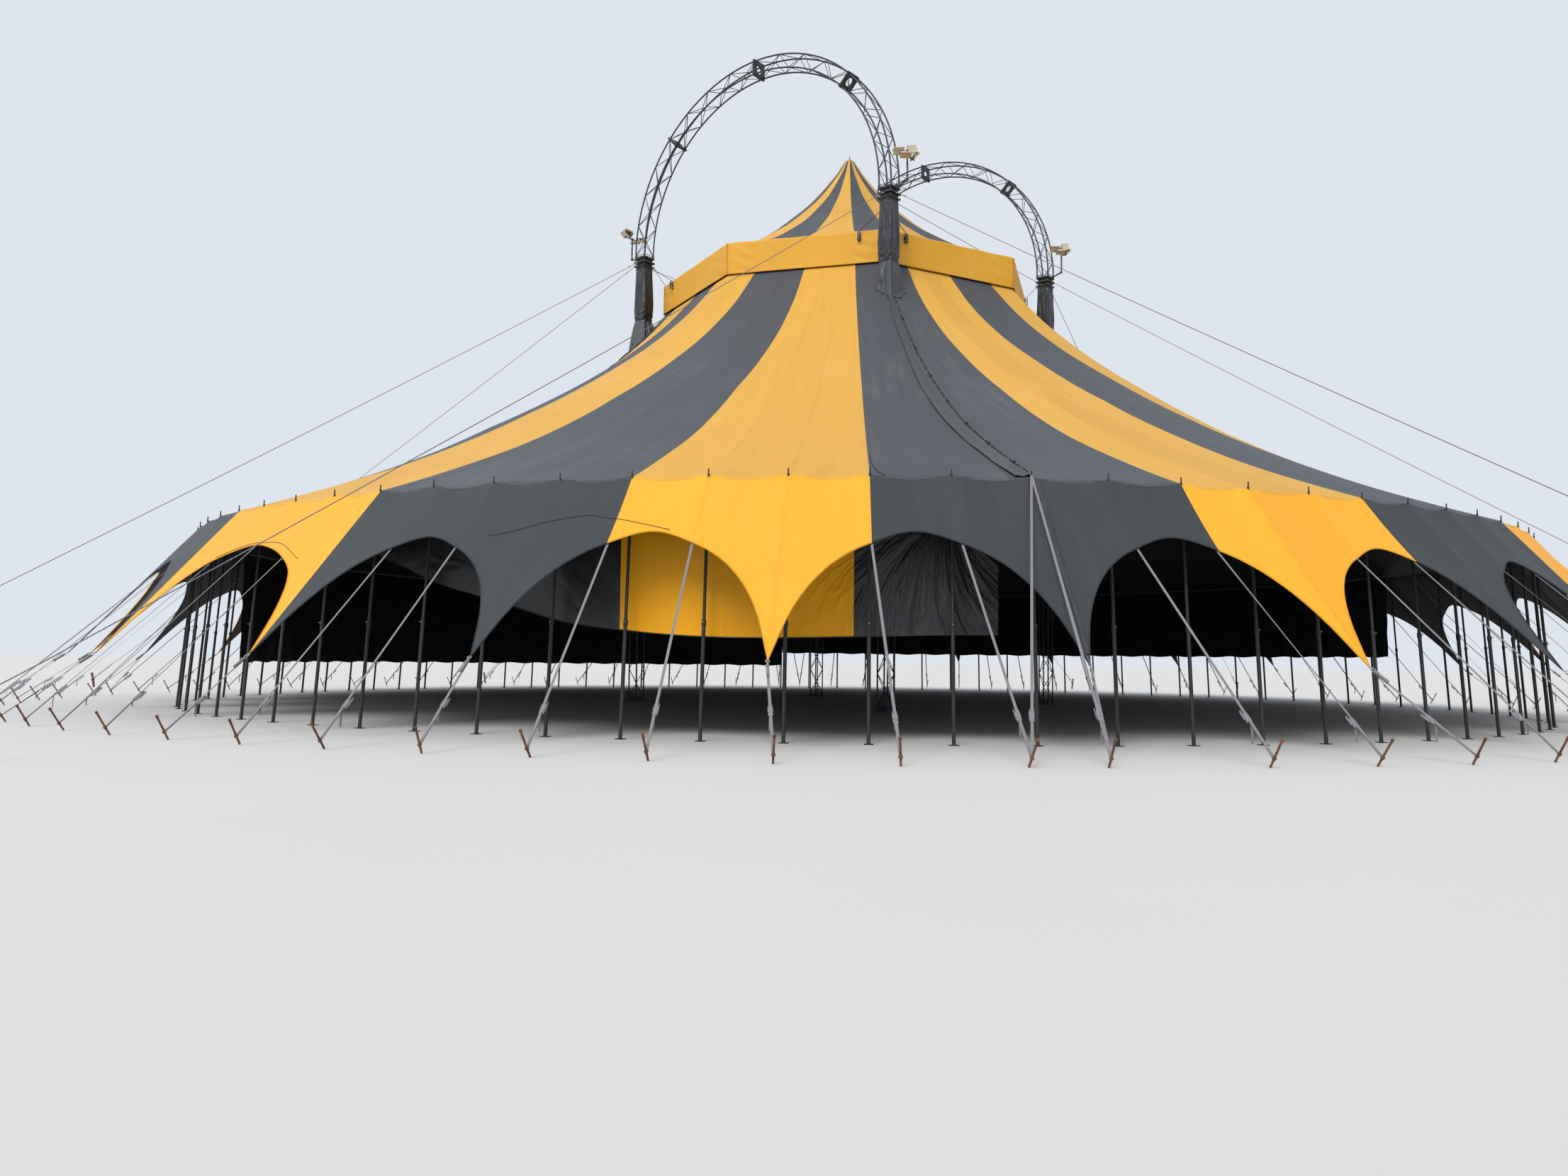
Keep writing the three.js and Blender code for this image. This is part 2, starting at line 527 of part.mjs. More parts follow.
masts.forEach((m, i) => add(`hoist_blocks_${m.n}`, hoist(m, i), COLORS.block, 0.3, 0.6));

// Lacing rope with its fold band over the seam of two roof quarters
function lacing(i) {
  const az = mastAz(i), from = 8.66, to = EAVE_R - 0.03, lift = 0.0008;
  const rs = [from, ...ROOF.map(([r]) => r).filter((r) => r > from && r < to), to];
  const side = [Math.cos(az), Math.sin(az)];
  return loft(rs.map((r) => [[-1, lift], [1, lift], [1, lift + 0.025], [-1, lift + 0.025]].map(([s, h]) => {
    const p = polar(r, az, roofZ(r) + h);
    return [p[0] + s * 0.035 * M * side[0], p[1] + s * 0.035 * M * side[1], p[2]];
  })));
}
masts.forEach((m, i) => add(`roof_lacing_${m.n}`, lacing(i), COLORS.dark, 0, 0.8));

// Floodlights on an arm at each mast head
function floodlight(m) {
  // The arm rises outwards, so its end face leans back towards the edge of the head plate
  const lean = 0.0067;
  const s = m.sx, x0 = HEAD_HALF + GAP / M + lean, xp = LAMP_POST_X, rise = LAMP_ARM_RISE;
  const parts = [
    bar(at(m, s * x0, 0, HEAD_TOP - 0.025), at(m, s * (xp + 0.03), 0, HEAD_TOP + rise), 0.03 * M),
    post(at(m, s * xp, 0, HEAD_TOP + rise - 0.04), at(m, s * xp, 0, HEAD_TOP + LAMP_Z - 0.02), 0.025 * M, 6),
    bar(at(m, s * xp, -0.42, HEAD_TOP + LAMP_Z - 0.07), at(m, s * xp, 0.42, HEAD_TOP + LAMP_Z - 0.07),
      0.025 * M)];
  for (const t of [-0.36, 0.36]) {
    const lamp = box(-0.05 * M, -0.18 * M, -0.14 * M, 0.05 * M, 0.18 * M, 0.14 * M);
    lamp.rotateY(s * 0.7);
    lamp.translate(...at(m, s * (xp + 0.05), t, HEAD_TOP + LAMP_Z));
    parts.push(lamp);
  }
  return join(parts);
}
for (const m of masts) add(`floodlights_${m.n}`, floodlight(m), COLORS.lamp, 0.3, 0.5);

// Hanging side curtains
function curtain({ quarter, from, to, low }) {
  const us = [];
  for (let u = from; u < to; u++) if (u % ROOF_STEP === 0 || low.some(([v]) => v === u)) us.push(u);
  us.push(to);
  const top = (r) => roofZ(r) - ROOF_T - GAP / M;
  // Between the corners of a roof facet the curtain lies nearer the middle of the tent
  const half = Math.PI * ROOF_STEP / (4 * SPANS);
  const facet = (u) => Math.cos(half) / Math.cos(half * (2 * (u % ROOF_STEP) / ROOF_STEP - 1));
  const end = (u) => (u === from ? 0.004 : u === to ? -0.004 : 0);
  const row = (r, z) => us.map((u) => polar(r * facet(u), pinAz(quarter, u + end(u)), z(u)));
  const [out, inn] = [CURTAIN_R + 0.02, CURTAIN_R - 0.02];
  const hem = (u) => along(low, u);
  return sheet([row(out, hem), row(out, () => top(out))], [row(inn, hem), row(inn, () => top(inn))]);
}
for (const c of CURTAINS) add(c.name, curtain(c), COLORS.curtain, 0, 0.7);

export default group;
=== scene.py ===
"""Looks of a striped circus big top at 1:2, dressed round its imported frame.

Lengths in the tables are metres of the real tent, and S turns them into metres of the model. Azimuth
is counted from -Y, the front, towards +X. A pin number u runs from 0 to 22 along one quarter of the
tent, from mast to mast, with a side pole at each whole number.
"""

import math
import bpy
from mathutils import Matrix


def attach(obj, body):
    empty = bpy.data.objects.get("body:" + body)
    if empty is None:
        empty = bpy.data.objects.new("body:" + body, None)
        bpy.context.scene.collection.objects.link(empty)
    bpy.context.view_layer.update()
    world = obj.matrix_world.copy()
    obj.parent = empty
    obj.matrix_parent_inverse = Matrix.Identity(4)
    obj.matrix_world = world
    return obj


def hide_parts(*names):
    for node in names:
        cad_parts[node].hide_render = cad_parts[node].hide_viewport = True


bl_info = {
    "name": "Circus Big Top",
    "version": (1, 0, 0),
    "blender": (4, 5, 0),
    "location": "3D View > Sidebar > Big Top",
    "description": "Dresses a 1:2 model of a striped circus tent with canvas, rigging and lattice masts",
    "category": "Object",
}

import bmesh
import bpy
import numpy as np
from mathutils import Matrix, Vector

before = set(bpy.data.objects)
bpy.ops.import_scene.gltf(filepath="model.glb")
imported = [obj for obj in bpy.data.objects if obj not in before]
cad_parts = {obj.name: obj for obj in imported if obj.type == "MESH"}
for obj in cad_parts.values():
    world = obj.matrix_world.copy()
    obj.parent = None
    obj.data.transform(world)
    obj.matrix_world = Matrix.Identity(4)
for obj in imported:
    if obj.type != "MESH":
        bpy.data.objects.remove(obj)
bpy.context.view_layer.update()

# Sizes of the real tent, in metres
S = 0.5                      # metres of the model for one metre of the real tent
SPANS = 22                   # side-pole spans in one quarter
SIDES = ("front", "right", "back", "left")
CROWN_R = 6.9                # inner edge of the roof
EAVE_R, EAVE_Z = 22.0, 5.13
SECTOR_PINS = (0, 2, 5, 9, 13, 17, 20, 22)
SECTOR_AZ = (0, 7.5, 22.5, 37.5, 52.5, 67.5, 82.5, 90)
ROOF = ((6.90, 14.56), (8, 13.3), (9.4, 12.0), (11.5, 10.4), (14, 8.75), (17, 7.15), (20, 5.87), (22, 5.13),
        (22.1, 5.095))
CAP = ((0.06, 20.87), (0.12, 20.85), (0.5, 20.3), (1.0, 19.65), (1.6, 18.95), (2.4, 18.2), (3.3, 17.47),
       (4.3, 16.83), (5.4, 16.2), (6.98, 15.535))
AWNING_SLOPE = 1.18
TIPS = (0, 3, 6, 9, 13, 16, 19, 22)
HEM_SHORT = ((0, 25.05), (0.06, 24.76), (0.14, 24.42), (0.25, 24.1), (0.5, 23.64), (0.75, 23.37), (1, 23.2),
             (1.5, 23.0), (2, 23.2))
HEM_LONG = ((0, 25.05), (0.06, 24.76), (0.14, 24.42), (0.25, 24.1), (0.5, 23.64), (0.75, 23.4), (1, 23.24),
            (1.5, 23.03), (2, 22.94), (2.5, 23.03))
MAST_XY, MAST_TOP, HEAD_TOP = 5.515, 16.25, 16.60
MAST_HALF, HEAD_HALF, TRUSS = 0.188, 0.262, 0.23   # half widths of a mast, a mast head and an arch
ARCH_SPRING = 16.70
JOINT_AZ = (45, 90, 135)
RING_R, VALANCE_Z0, CAP_EDGE = 7.04, 14.52, 6.98
SLEEVE_TOP, CINCH = 16.245, 14.2   # heights of the top and the cinch of a sleeve
POLE_FOOT, POLE_TOP, PIN_TOP = 22.35, 5.0, 5.27
SPAN = 1.571                 # distance between two side poles
AWNING_R = 21.995            # upper edge of the awning
SEAM_HOLD = 5.19             # height where the straps at the mast seams hold
STAKE_FOOT, STAKE_TOP, STRAP_END = 26.8, (27.07, 0.45), (26.9, 0.15)
STAKE_SHIFT, SEAM_SHIFT = 0.16, -0.2
GUY_Z = 16.43
ANCHORS = (((-8.0, -29.9), (-30.8, -14.4)), ((6.9, -31.25), (30.8, -12.0)),
           ((30.1, 7.45), (4.75, 30.6)), ((-5.3, 31.25), (-30.3, 6.4)))
CURTAIN_R = 21.82
CURTAIN_HELD = (21.02, 4.45)  # pin number and height of the place that the creases run out from
HOIST_T, HOIST_Z = 0.78, 15.39
LAMP_POST_X, LAMP_ARM_RISE = 0.68, 0.12
# Each curtain with its quarter, its first and last pin, and its lower edge
CURTAINS = (("front", 0, 12, 21.62,
             ((12, 4.2), (13, 3.7), (14, 3.12), (15, 2.72), (16, 2.3), (17, 2.1), (21.62, 2.1))),
            ("back", 2, 0, 22, ((0, 2.0), (22, 2.0))), ("left", 3, 0, 22, ((0, 1.3), (22, 1.3))))
CORNERS = ((-1, -1), (1, -1), (1, 1), (-1, 1))
EYELET, LOOP = 0.46, 0.34    # distance between two eyelets of the roof lacing, and length of a loop
BAND = (8.30, 21.95)         # radii between which the fold band covers a roof seam
FOLD = (22.12, 24.90)        # the same for the loose fold on the awning
EAVE_ROPE_R, EAVE_ROPE_Z = 21.93, 5.06
VALANCE_DROP = 1.05          # height of the valance
PEAK = 20.83                 # underside of the finial

# Sizes of the model, in metres
WEBBING, ROPE_TURN = 0.0028, (0, 0, 1)    # thickness of the straps, and how round runs are turned
JOINT_HALF, JOINT_HOLE = 0.145, 0.075     # joint plates of the arches
COLLAR_IN, COLLAR_OUT = 0.1108, 0.14      # collars of the guy cables
ANCHOR_TOP, ANCHOR_HOLD, ANCHOR_LEAN = 0.31, 0.36 / 0.62, 0.08
WIRE_START, WIRE_END = 0.10, 0.62         # room for the fittings at both ends of a guy wire
GUY_SAG = 0.22
MAST_BAYS, JOINT_GAP = 30, 0.014          # bays of a mast, and half the gap between two joint frames
LAMP_BAR = 0.45                           # height of the lamp bar over the mast head
PLATE = 0.014                             # thickness of a joint plate

# Camera of the picture, in the model's metres
EYE = (12.985, -18.09, 0.78)
LOOK = (-0.6250, 0.7806)
PITCH, ROLL, LENS = 3.50, 0.689, 27.04


class CanvasSettings(bpy.types.PropertyGroup):
    """Colours and sizes of the cloths"""
    yellow: bpy.props.FloatVectorProperty(
        name="Yellow", description="Yellow stripes of the awning and the valance", subtype="COLOR", size=3,
        min=0, max=1, default=(0.84, 0.362, 0.006))
    # The roof's yellow is paler than the awning's, a painted sheen of the sky on the roof
    yellow_roof_painted_sheen: bpy.props.FloatVectorProperty(
        name="Yellow with painted sheen", description="Yellow stripes of the roof and the cap, paler for a painted sheen of the sky",
        subtype="COLOR", size=3, min=0, max=1, default=(0.63, 0.328, 0.036))
    dark: bpy.props.FloatVectorProperty(
        name="Dark grey", description="Dark stripes of the awning", subtype="COLOR", size=3, min=0, max=1,
        default=(0.025, 0.031, 0.035))
    # The roof's dark grey is paler and bluer than the awning's, a painted sheen of the sky on the roof
    dark_roof_painted_sheen: bpy.props.FloatVectorProperty(
        name="Dark grey with painted sheen", description="Dark stripes of the roof and the cap", subtype="COLOR", size=3,
        min=0, max=1, default=(0.049, 0.054, 0.064))
    valance: bpy.props.FloatVectorProperty(
        name="Valance", description="Yellow band round the crown", subtype="COLOR", size=3, min=0, max=1,
        default=(0.65, 0.322, 0.014))
    inside: bpy.props.FloatVectorProperty(
        name="Inside", description="Blackout coating on the underside of the cloths", subtype="COLOR", size=3,
        min=0, max=1, default=(0.010, 0.011, 0.014))
    thickness: bpy.props.FloatProperty(
        name="Thickness", description="Thickness of the cloths", unit="LENGTH", min=0.001, max=0.01,
        default=0.003)


class RiggingSettings(bpy.types.PropertyGroup):
    """Sizes and colours of poles, trusses, straps and cables"""
    chord: bpy.props.FloatProperty(
        name="Chord radius", description="Radius of the truss chords", unit="LENGTH", min=0.005, max=0.03,
        default=0.014)
    brace: bpy.props.FloatProperty(
        name="Brace radius", description="Radius of the truss braces", unit="LENGTH", min=0.002, max=0.02,
        default=0.0062)
    bay: bpy.props.FloatProperty(
        name="Bay", description="Length of one bay of the trusses", unit="LENGTH", min=0.1, max=0.6,
        default=0.27)
    pole: bpy.props.FloatProperty(
        name="Side pole radius", description="Radius of the side poles", unit="LENGTH", min=0.01, max=0.04,
        default=0.019)
    strap: bpy.props.FloatProperty(
        name="Strap width", description="Width of the webbing straps", unit="LENGTH", min=0.01, max=0.06,
        default=0.024)
    cable: bpy.props.FloatProperty(
        name="Guy radius", description="Radius of the guy cables", unit="LENGTH", min=0.003, max=0.01,
        default=0.005)
    paint: bpy.props.FloatVectorProperty(
        name="Truss paint", description="Dark paint of the trusses", subtype="COLOR", size=3, min=0, max=1,
        default=(0.020, 0.027, 0.036))
    webbing: bpy.props.FloatVectorProperty(
        name="Webbing", description="Colour of the straps", subtype="COLOR", size=3, min=0, max=1,
        default=(0.205, 0.185, 0.195))


class StageSettings(bpy.types.PropertyGroup):
    """Floor and light"""
    floor: bpy.props.FloatVectorProperty(
        name="Floor", description="Colour of the floor", subtype="COLOR", size=3, min=0, max=1,
        default=(0.56, 0.545, 0.52))
    sky: bpy.props.FloatProperty(
        name="Sky", description="Strength of the soft light from all round", min=0, max=5, default=0.85)
    sun: bpy.props.FloatProperty(
        name="Key light", description="Strength of the broad key light", min=0, max=10, default=2.4)


# Curves and places

def smooth(points):
    """Smooth curve through (x, y) points, as a function of x"""
    x, y = np.array(points, float).T
    slope = np.gradient(y, x)

    def curve(at):
        at = np.clip(np.asarray(at, float), x[0], x[-1])
        i = np.clip(np.searchsorted(x, at, "right") - 1, 0, len(x) - 2)
        h = x[i + 1] - x[i]
        k = (at - x[i]) / h
        return ((2 * k**3 - 3 * k**2 + 1) * y[i] + (k**3 - 2 * k**2 + k) * h * slope[i]
                + (3 * k**2 - 2 * k**3) * y[i + 1] + (k**3 - k**2) * h * slope[i + 1])
    return curve


roof_z, cap_z = smooth(ROOF), smooth(CAP)
hem_short, hem_long = smooth(HEM_SHORT), smooth(HEM_LONG)


def polar(r, az, z):
    """Points of the model from radius, azimuth and height of the real tent"""
    r, az, z = np.broadcast_arrays(np.asarray(r, float), az, z)
    return np.stack((r * np.sin(az) * S, -r * np.cos(az) * S, z * S), -1)


def pin_az(q, u):
    return np.radians(-45 + 90 * q + 90 * np.asarray(u, float) / SPANS)


def stake_az(q, u):
    """The stakes stand a little beside their poles"""
    return pin_az(q, u + np.where(np.asarray(u) == 0, SEAM_SHIFT, STAKE_SHIFT))


def crown_az(q, u):
    return np.radians(-45 + 90 * q + np.interp(u, SECTOR_PINS, SECTOR_AZ))


def octagon(az):
    """Radius factor of the eight-sided crown, 1 at its corners"""
    a = np.radians(np.degrees(az) % 45 - 22.5)
    return math.cos(math.pi / 8) / np.cos(a)


def rounded(az, share):
    """The same, turning into a circle as share goes from 0 to 1"""
    return octagon(az) + (1 - octagon(az)) * np.clip(share, 0, 1)


def between(u):
    """0 at the side poles and 1 in the middle between two of them"""
    return np.sin(math.pi * u) ** 2


def straight(u):
    """Radius factor that keeps the cloth straight from side pole to side pole"""
    half = math.pi / (4 * SPANS)
    return math.cos(half) / np.cos((np.asarray(u, float) % 1 - 0.5) * 2 * half)


def from_tip(u):
    """Side-pole spans to the nearest tip of the awning"""
    return np.min([np.abs(u - t) for t in TIPS], axis=0)


def hem_radius(u):
    """Radius of the awning's scalloped edge"""
    u = np.asarray(u, float)
    return np.where((u > 9) & (u < 13), hem_long(from_tip(u)), hem_short(from_tip(u)))


def awning_z(r):
    return EAVE_Z - AWNING_SLOPE * (r - EAVE_R)


def roof_place(q, u, r):
    """Radius, azimuth and height of the roof cloth"""
    t = np.clip((r - CROWN_R) / (EAVE_R - CROWN_R), 0, 1)
    crown = crown_az(q, u)
    az = crown + (pin_az(q, u) - crown) * t
    edge = rounded(crown, (r - CROWN_R) / 7)
    drum = between(u)
    # Seams stand a little proud of the panels, which also ripple slowly
    drop = 0.020 * drum * np.clip((r - 9) / 6, 0, 1) + 0.026 * drum * t**12
    ripple = 0.014 * np.sin(1.1 * r + 2.3 * u) * np.sin(0.7 * u + 1.3 * q) * np.clip((r - 8) / 3, 0, 1)
    ripple *= np.clip((21.6 - r) / 3, 0, 1)
    return r * edge * (1 + (straight(u) - 1) * t**4), az, roof_z(r) - drop + ripple


def eave_way(az):
    """Level direction along the eave at an azimuth"""
    return np.array((math.cos(az), math.sin(az), 0))


def grid(rows, columns):
    return np.meshgrid(rows, columns, indexing="ij")


def hash01(*numbers):
    """Repeatable number from 0 to 1 for given numbers"""
    return (math.sin(sum(n * k for n, k in zip(numbers, (12.9898, 78.233, 37.719)))) * 43758.5453) % 1


# Meshes

def link(name, mesh):
    obj = bpy.data.objects.new(name, mesh)
    bpy.context.scene.collection.objects.link(obj)
    return obj


def dress(obj, *finishes):
    obj.data.materials.clear()
    for f in finishes:
        obj.data.materials.append(finish(f))
    return obj


def fit(obj, slot, *nodes):
    """The piece rides on the tent and stands for these nodes; the slot is not used"""
    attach(obj, "root")
    if nodes:
        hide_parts(*nodes)
    return obj


def cloth(name, points, thickness, panel, finishes, part=None, wrap=False, keep=None, creases=()):
    """Cloth with thickness over a grid of points: rows run down or outwards and columns towards +azimuth.
    panel gives the map's numbers for the columns and rows; part is the finish of each column of faces,
    and the last finish is the underside's."""
    rows, cols = points.shape[:2]
    if wrap:
        across = np.roll(points, -1, 1) - np.roll(points, 1, 1)
    else:
        across = np.gradient(points, axis=1)
    normal = np.cross(np.gradient(points, axis=0), across)
    normal /= np.maximum(np.linalg.norm(normal, axis=2, keepdims=True), 1e-12)
    both = np.concatenate((points.reshape(-1, 3), (points - normal * thickness).reshape(-1, 3)))
    n = rows * cols
    last = cols if wrap else cols - 1
    i, j = grid(np.arange(rows - 1), np.arange(last))
    if keep is not None:
        i, j = i[keep], j[keep]
    i, j = i.ravel(), j.ravel()
    at = lambda a, b: a * cols + b % cols
    outer = np.stack((at(i, j), at(i + 1, j), at(i + 1, j + 1), at(i, j + 1)), 1)
    grid_u = np.stack((j, j, j + 1, j + 1), 1)
    grid_v = np.stack((i, i + 1, i + 1, i), 1)
    look = np.zeros(len(i), int) if part is None else np.asarray(part)[j]
    # Rim faces along every open edge of the outer layer
    start, end = outer.ravel(), np.roll(outer, -1, 1).ravel()
    open_edge = ~np.isin(start * n + end, end * n + start)
    su, sv = grid_u.ravel()[open_edge], grid_v.ravel()[open_edge]
    eu, ev = np.roll(grid_u, -1, 1).ravel()[open_edge], np.roll(grid_v, -1, 1).ravel()[open_edge]
    a, b = start[open_edge], end[open_edge]
    rim = np.stack((b, a, a + n, b + n), 1)
    faces = np.concatenate((outer, outer[:, ::-1] + n, rim))
    looks = np.concatenate((look, np.full(len(look), len(finishes) - 1), np.repeat(look, 4)[open_edge]))
    us = np.concatenate((grid_u, grid_u[:, ::-1], np.stack((eu, su, su, eu), 1))).ravel()
    vs = np.concatenate((grid_v, grid_v[:, ::-1], np.stack((ev, sv, sv, ev), 1))).ravel()
    used, places = np.unique(faces, return_inverse=True)
    faces = places.reshape(-1, 4)
    mesh = bpy.data.meshes.new(name)
    mesh.from_pydata(both[used].tolist(), [], faces.tolist())
    layer = mesh.uv_layers.new(name="panel")
    panel_u, panel_v = (np.asarray(x, float) for x in panel)
    flat = np.stack((panel_u[us], panel_v[vs]), 1) if panel_v.ndim == 1 else np.stack(
        (panel_u[us], panel_v[vs, us % cols]), 1)
    layer.data.foreach_set("uv", flat.ravel())
    mesh.polygons.foreach_set("use_smooth", np.ones(len(faces), bool))
    # Sharp edges round the rim and along the creases
    pairs = np.empty(len(mesh.edges) * 2, int)
    mesh.edges.foreach_get("vertices", pairs)
    ends = used[pairs.reshape(-1, 2)]
    layer_of, column = ends // n, ends % n % cols
    border = np.isin(ends % n, np.concatenate((a, b)))
    sharp = (layer_of[:, 0] != layer_of[:, 1]) | border.all(1)
    sharp |= (column[:, 0] == column[:, 1]) & np.isin(column[:, 0], creases)
    mesh.attributes.new("sharp_edge", "BOOLEAN", "EDGE").data.foreach_set("value", sharp)
    obj = dress(link(name, mesh), *finishes)
    mesh.polygons.foreach_set("material_index", looks)
    mesh.update()
    return obj


def cut_area(obj):
    """Area of the cloth, which is half the surface of its two faces"""
    sizes = np.empty(len(obj.data.polygons))
    obj.data.polygons.foreach_get("area", sizes)
    return float(sizes.sum() / 2)


def sweep(name, runs, *finishes):
    """Solid bars that follow paths. A run is (points, profile, side) and the number of its finish, if it
    isn't the first: the profile's points are (side, up) offsets, one list or one for each point, and side
    is a direction across the path."""
    points, faces, maps, looks = [], [], [], []
    for path, profile, side, *look in runs:
        path = np.asarray(path, float)
        profile = np.asarray(profile, float)
        if profile.ndim == 2:
            profile = np.repeat(profile[None], len(path), 0)
        ahead = np.gradient(path, axis=0)
        ahead /= np.linalg.norm(ahead, axis=1, keepdims=True)
        if side is None:
            side = (0, 0, 1) if abs(ahead[0][2]) < 0.9 else (1, 0, 0)
        side = np.broadcast_to(np.asarray(side, float), path.shape).copy()
        if np.allclose(side, side[0]):
            for k in range(1, len(path)):
                side[k] = side[k - 1]
        across = side - (side * ahead).sum(1, keepdims=True) * ahead
        across /= np.linalg.norm(across, axis=1, keepdims=True)
        up = np.cross(ahead, across)
        ring = path[:, None] + across[:, None] * profile[:, :, :1] + up[:, None] * profile[:, :, 1:]
        m, base = profile.shape[1], sum(len(p) for p in points)
        points.append(ring.reshape(-1, 3))
        length = np.concatenate(([0], np.cumsum(np.linalg.norm(np.diff(path, axis=0), axis=1))))
        loop = np.concatenate((profile[0], profile[0][:1]))
        round_it = np.concatenate(([0], np.cumsum(np.linalg.norm(np.diff(loop, axis=0), axis=1))))
        for i in range(len(path) - 1):
            here, there = base + i * m, base + (i + 1) * m
            for k in range(m):
                j = (k + 1) % m
                faces.append([here + k, here + j, there + j, there + k])
                maps += [(length[i], round_it[k]), (length[i], round_it[k + 1]),
                         (length[i + 1], round_it[k + 1]), (length[i + 1], round_it[k])]
        faces.append([base + k for k in range(m)][::-1])
        faces.append([base + (len(path) - 1) * m + k for k in range(m)])
        maps += [(0, 0)] * m + [(length[-1], 0)] * m
        looks += [look[0] if look else 0] * (len(faces) - len(looks))
    mesh = bpy.data.meshes.new(name)
    mesh.from_pydata(np.concatenate(points).tolist(), [], faces)
    mesh.uv_layers.new(name="along").data.foreach_set("uv", np.array(maps, float).ravel())
    obj = dress(link(name, mesh), *finishes)
    mesh.polygons.foreach_set("material_index", looks)
    return soften(obj)


def round_profile(radius, sides=8):
    a = np.arange(sides) * 2 * math.pi / sides
    return np.stack((radius * np.cos(a), radius * np.sin(a)), 1)


def rod(path, radius, sides=8):
    """Round run of a sweep"""
    return path, round_profile(radius, sides), ROPE_TURN


def flat_profile(width, thickness=WEBBING):
    w, t = width / 2, thickness / 2
    return np.array(((-w, -t), (w, -t), (w, t), (-w, t)))


def settle():
    """The new primitive, with its place and turn taken into its mesh"""
    bpy.ops.object.transform_apply(location=True, rotation=True, scale=True)
    return bpy.context.active_object


def pick_faces(obj, wanted):
    """Edit mode with only the wanted faces selected"""
    bpy.ops.object.mode_set(mode="EDIT")
    bpy.ops.mesh.select_all(action="DESELECT")
    bpy.ops.mesh.select_mode(type="FACE")
    shape = bmesh.from_edit_mesh(obj.data)
    for face in shape.faces:
        face.select_set(wanted(face))
    bmesh.update_edit_mesh(obj.data)


def pick(obj):
    bpy.ops.object.select_all(action="DESELECT")
    obj.select_set(True)
    bpy.context.view_layer.objects.active = obj


def soften(obj):
    pick(obj)
    bpy.ops.object.shade_smooth_by_angle(angle=math.radians(35))
    return obj


def block(low, high, bevel=0.002, finish_name="black_steel"):
    """Box with bevelled edges between two corners"""
    bpy.ops.object.select_all(action="DESELECT")
    middle = [(a + b) / 2 for a, b in zip(low, high)]
    bpy.ops.mesh.primitive_cube_add(size=1, location=middle, scale=[b - a for a, b in zip(low, high)])
    obj = settle()
    if bevel:
        bpy.ops.object.mode_set(mode="EDIT")
        bpy.ops.mesh.select_all(action="SELECT")
        bpy.ops.mesh.bevel(offset=bevel, segments=2, affect="EDGES")
        bpy.ops.object.mode_set(mode="OBJECT")
    return dress(obj, finish_name)


def brick(middle, half, *looks):
    """Box from its middle and its half sizes"""
    return block([m - h for m, h in zip(middle, half)], [m + h for m, h in zip(middle, half)], *looks)


def drum(a, b, radius, sides=12, bevel=0.0, finish_name="zinc"):
    """Round piece from a to b, with bevelled ends"""
    a, b = Vector(a), Vector(b)
    bpy.ops.object.select_all(action="DESELECT")
    turn = (b - a).to_track_quat("Z", "Y").to_euler()
    bpy.ops.mesh.primitive_cylinder_add(
        vertices=sides, radius=radius, depth=(b - a).length, location=(a + b) / 2, rotation=turn)
    obj, axis = settle(), (b - a).normalized()
    if bevel:
        pick_faces(obj, lambda face: abs(face.normal.dot(axis)) > 0.9)
        bpy.ops.mesh.inset(thickness=bevel, depth=bevel * 0.6, use_individual=True)
        bpy.ops.object.mode_set(mode="OBJECT")
    return dress(obj, finish_name)


def upright(x, y, low, high, *looks):
    return drum((x, y, low), (x, y, high), *looks)


def crosswise(middle, way, half, *looks):
    """Round piece that reaches as far to both sides of its middle"""
    middle, way = Vector(middle), Vector(way) * half
    return drum(middle - way, middle + way, *looks)


def ring(middle, axis, radius, wire, finish_name="zinc", major=16, minor=6):
    """Round eye or shackle bow"""
    bpy.ops.object.select_all(action="DESELECT")
    bpy.ops.mesh.primitive_torus_add(
        major_radius=radius, minor_radius=wire, major_segments=major, minor_segments=minor,
        location=Vector(middle), rotation=Vector(axis).to_track_quat("Z", "Y").to_euler())
    return dress(settle(), finish_name)


def assemble(name, parts):
    """Joins parts into one piece and smooths it"""
    bpy.ops.object.select_all(action="DESELECT")
    for p in parts:
        p.select_set(True)
    bpy.context.view_layer.objects.active = parts[0]
    if len(parts) > 1:
        bpy.ops.object.join()
    parts[0].name = parts[0].data.name = name
    return soften(parts[0])


def copies(name, pattern, matrices, done=True):
    """One piece that holds a copy of the pattern for each matrix; the pattern itself goes"""
    source, count = pattern.data, len(matrices)
    co = np.empty(len(source.vertices) * 3)
    source.vertices.foreach_get("co", co)
    co = co.reshape(-1, 3)
    place = np.array([[list(row) for row in m] for m in matrices])
    points = np.einsum("mij,nj->mni", place[:, :3, :3], co) + place[:, None, :3, 3]
    corners = np.empty(len(source.loops), int)
    source.loops.foreach_get("vertex_index", corners)
    first, total, look = (np.empty(len(source.polygons), int) for _ in range(3))
    source.polygons.foreach_get("loop_start", first)
    source.polygons.foreach_get("loop_total", total)
    source.polygons.foreach_get("material_index", look)
    steps = np.arange(count)[:, None]
    mesh = bpy.data.meshes.new(name)
    mesh.vertices.add(len(co) * count)
    mesh.vertices.foreach_set("co", points.ravel())
    mesh.loops.add(len(corners) * count)
    mesh.loops.foreach_set("vertex_index", (corners[None] + steps * len(co)).ravel())
    mesh.polygons.add(len(first) * count)
    mesh.polygons.foreach_set("loop_start", (first[None] + steps * len(corners)).ravel())
    mesh.polygons.foreach_set("material_index", np.tile(look, count))
    mesh.update(calc_edges=True)
    obj = link(name, mesh)
    for m in source.materials:
        mesh.materials.append(m)
    if done:
        bpy.data.objects.remove(pattern)
    return soften(obj)


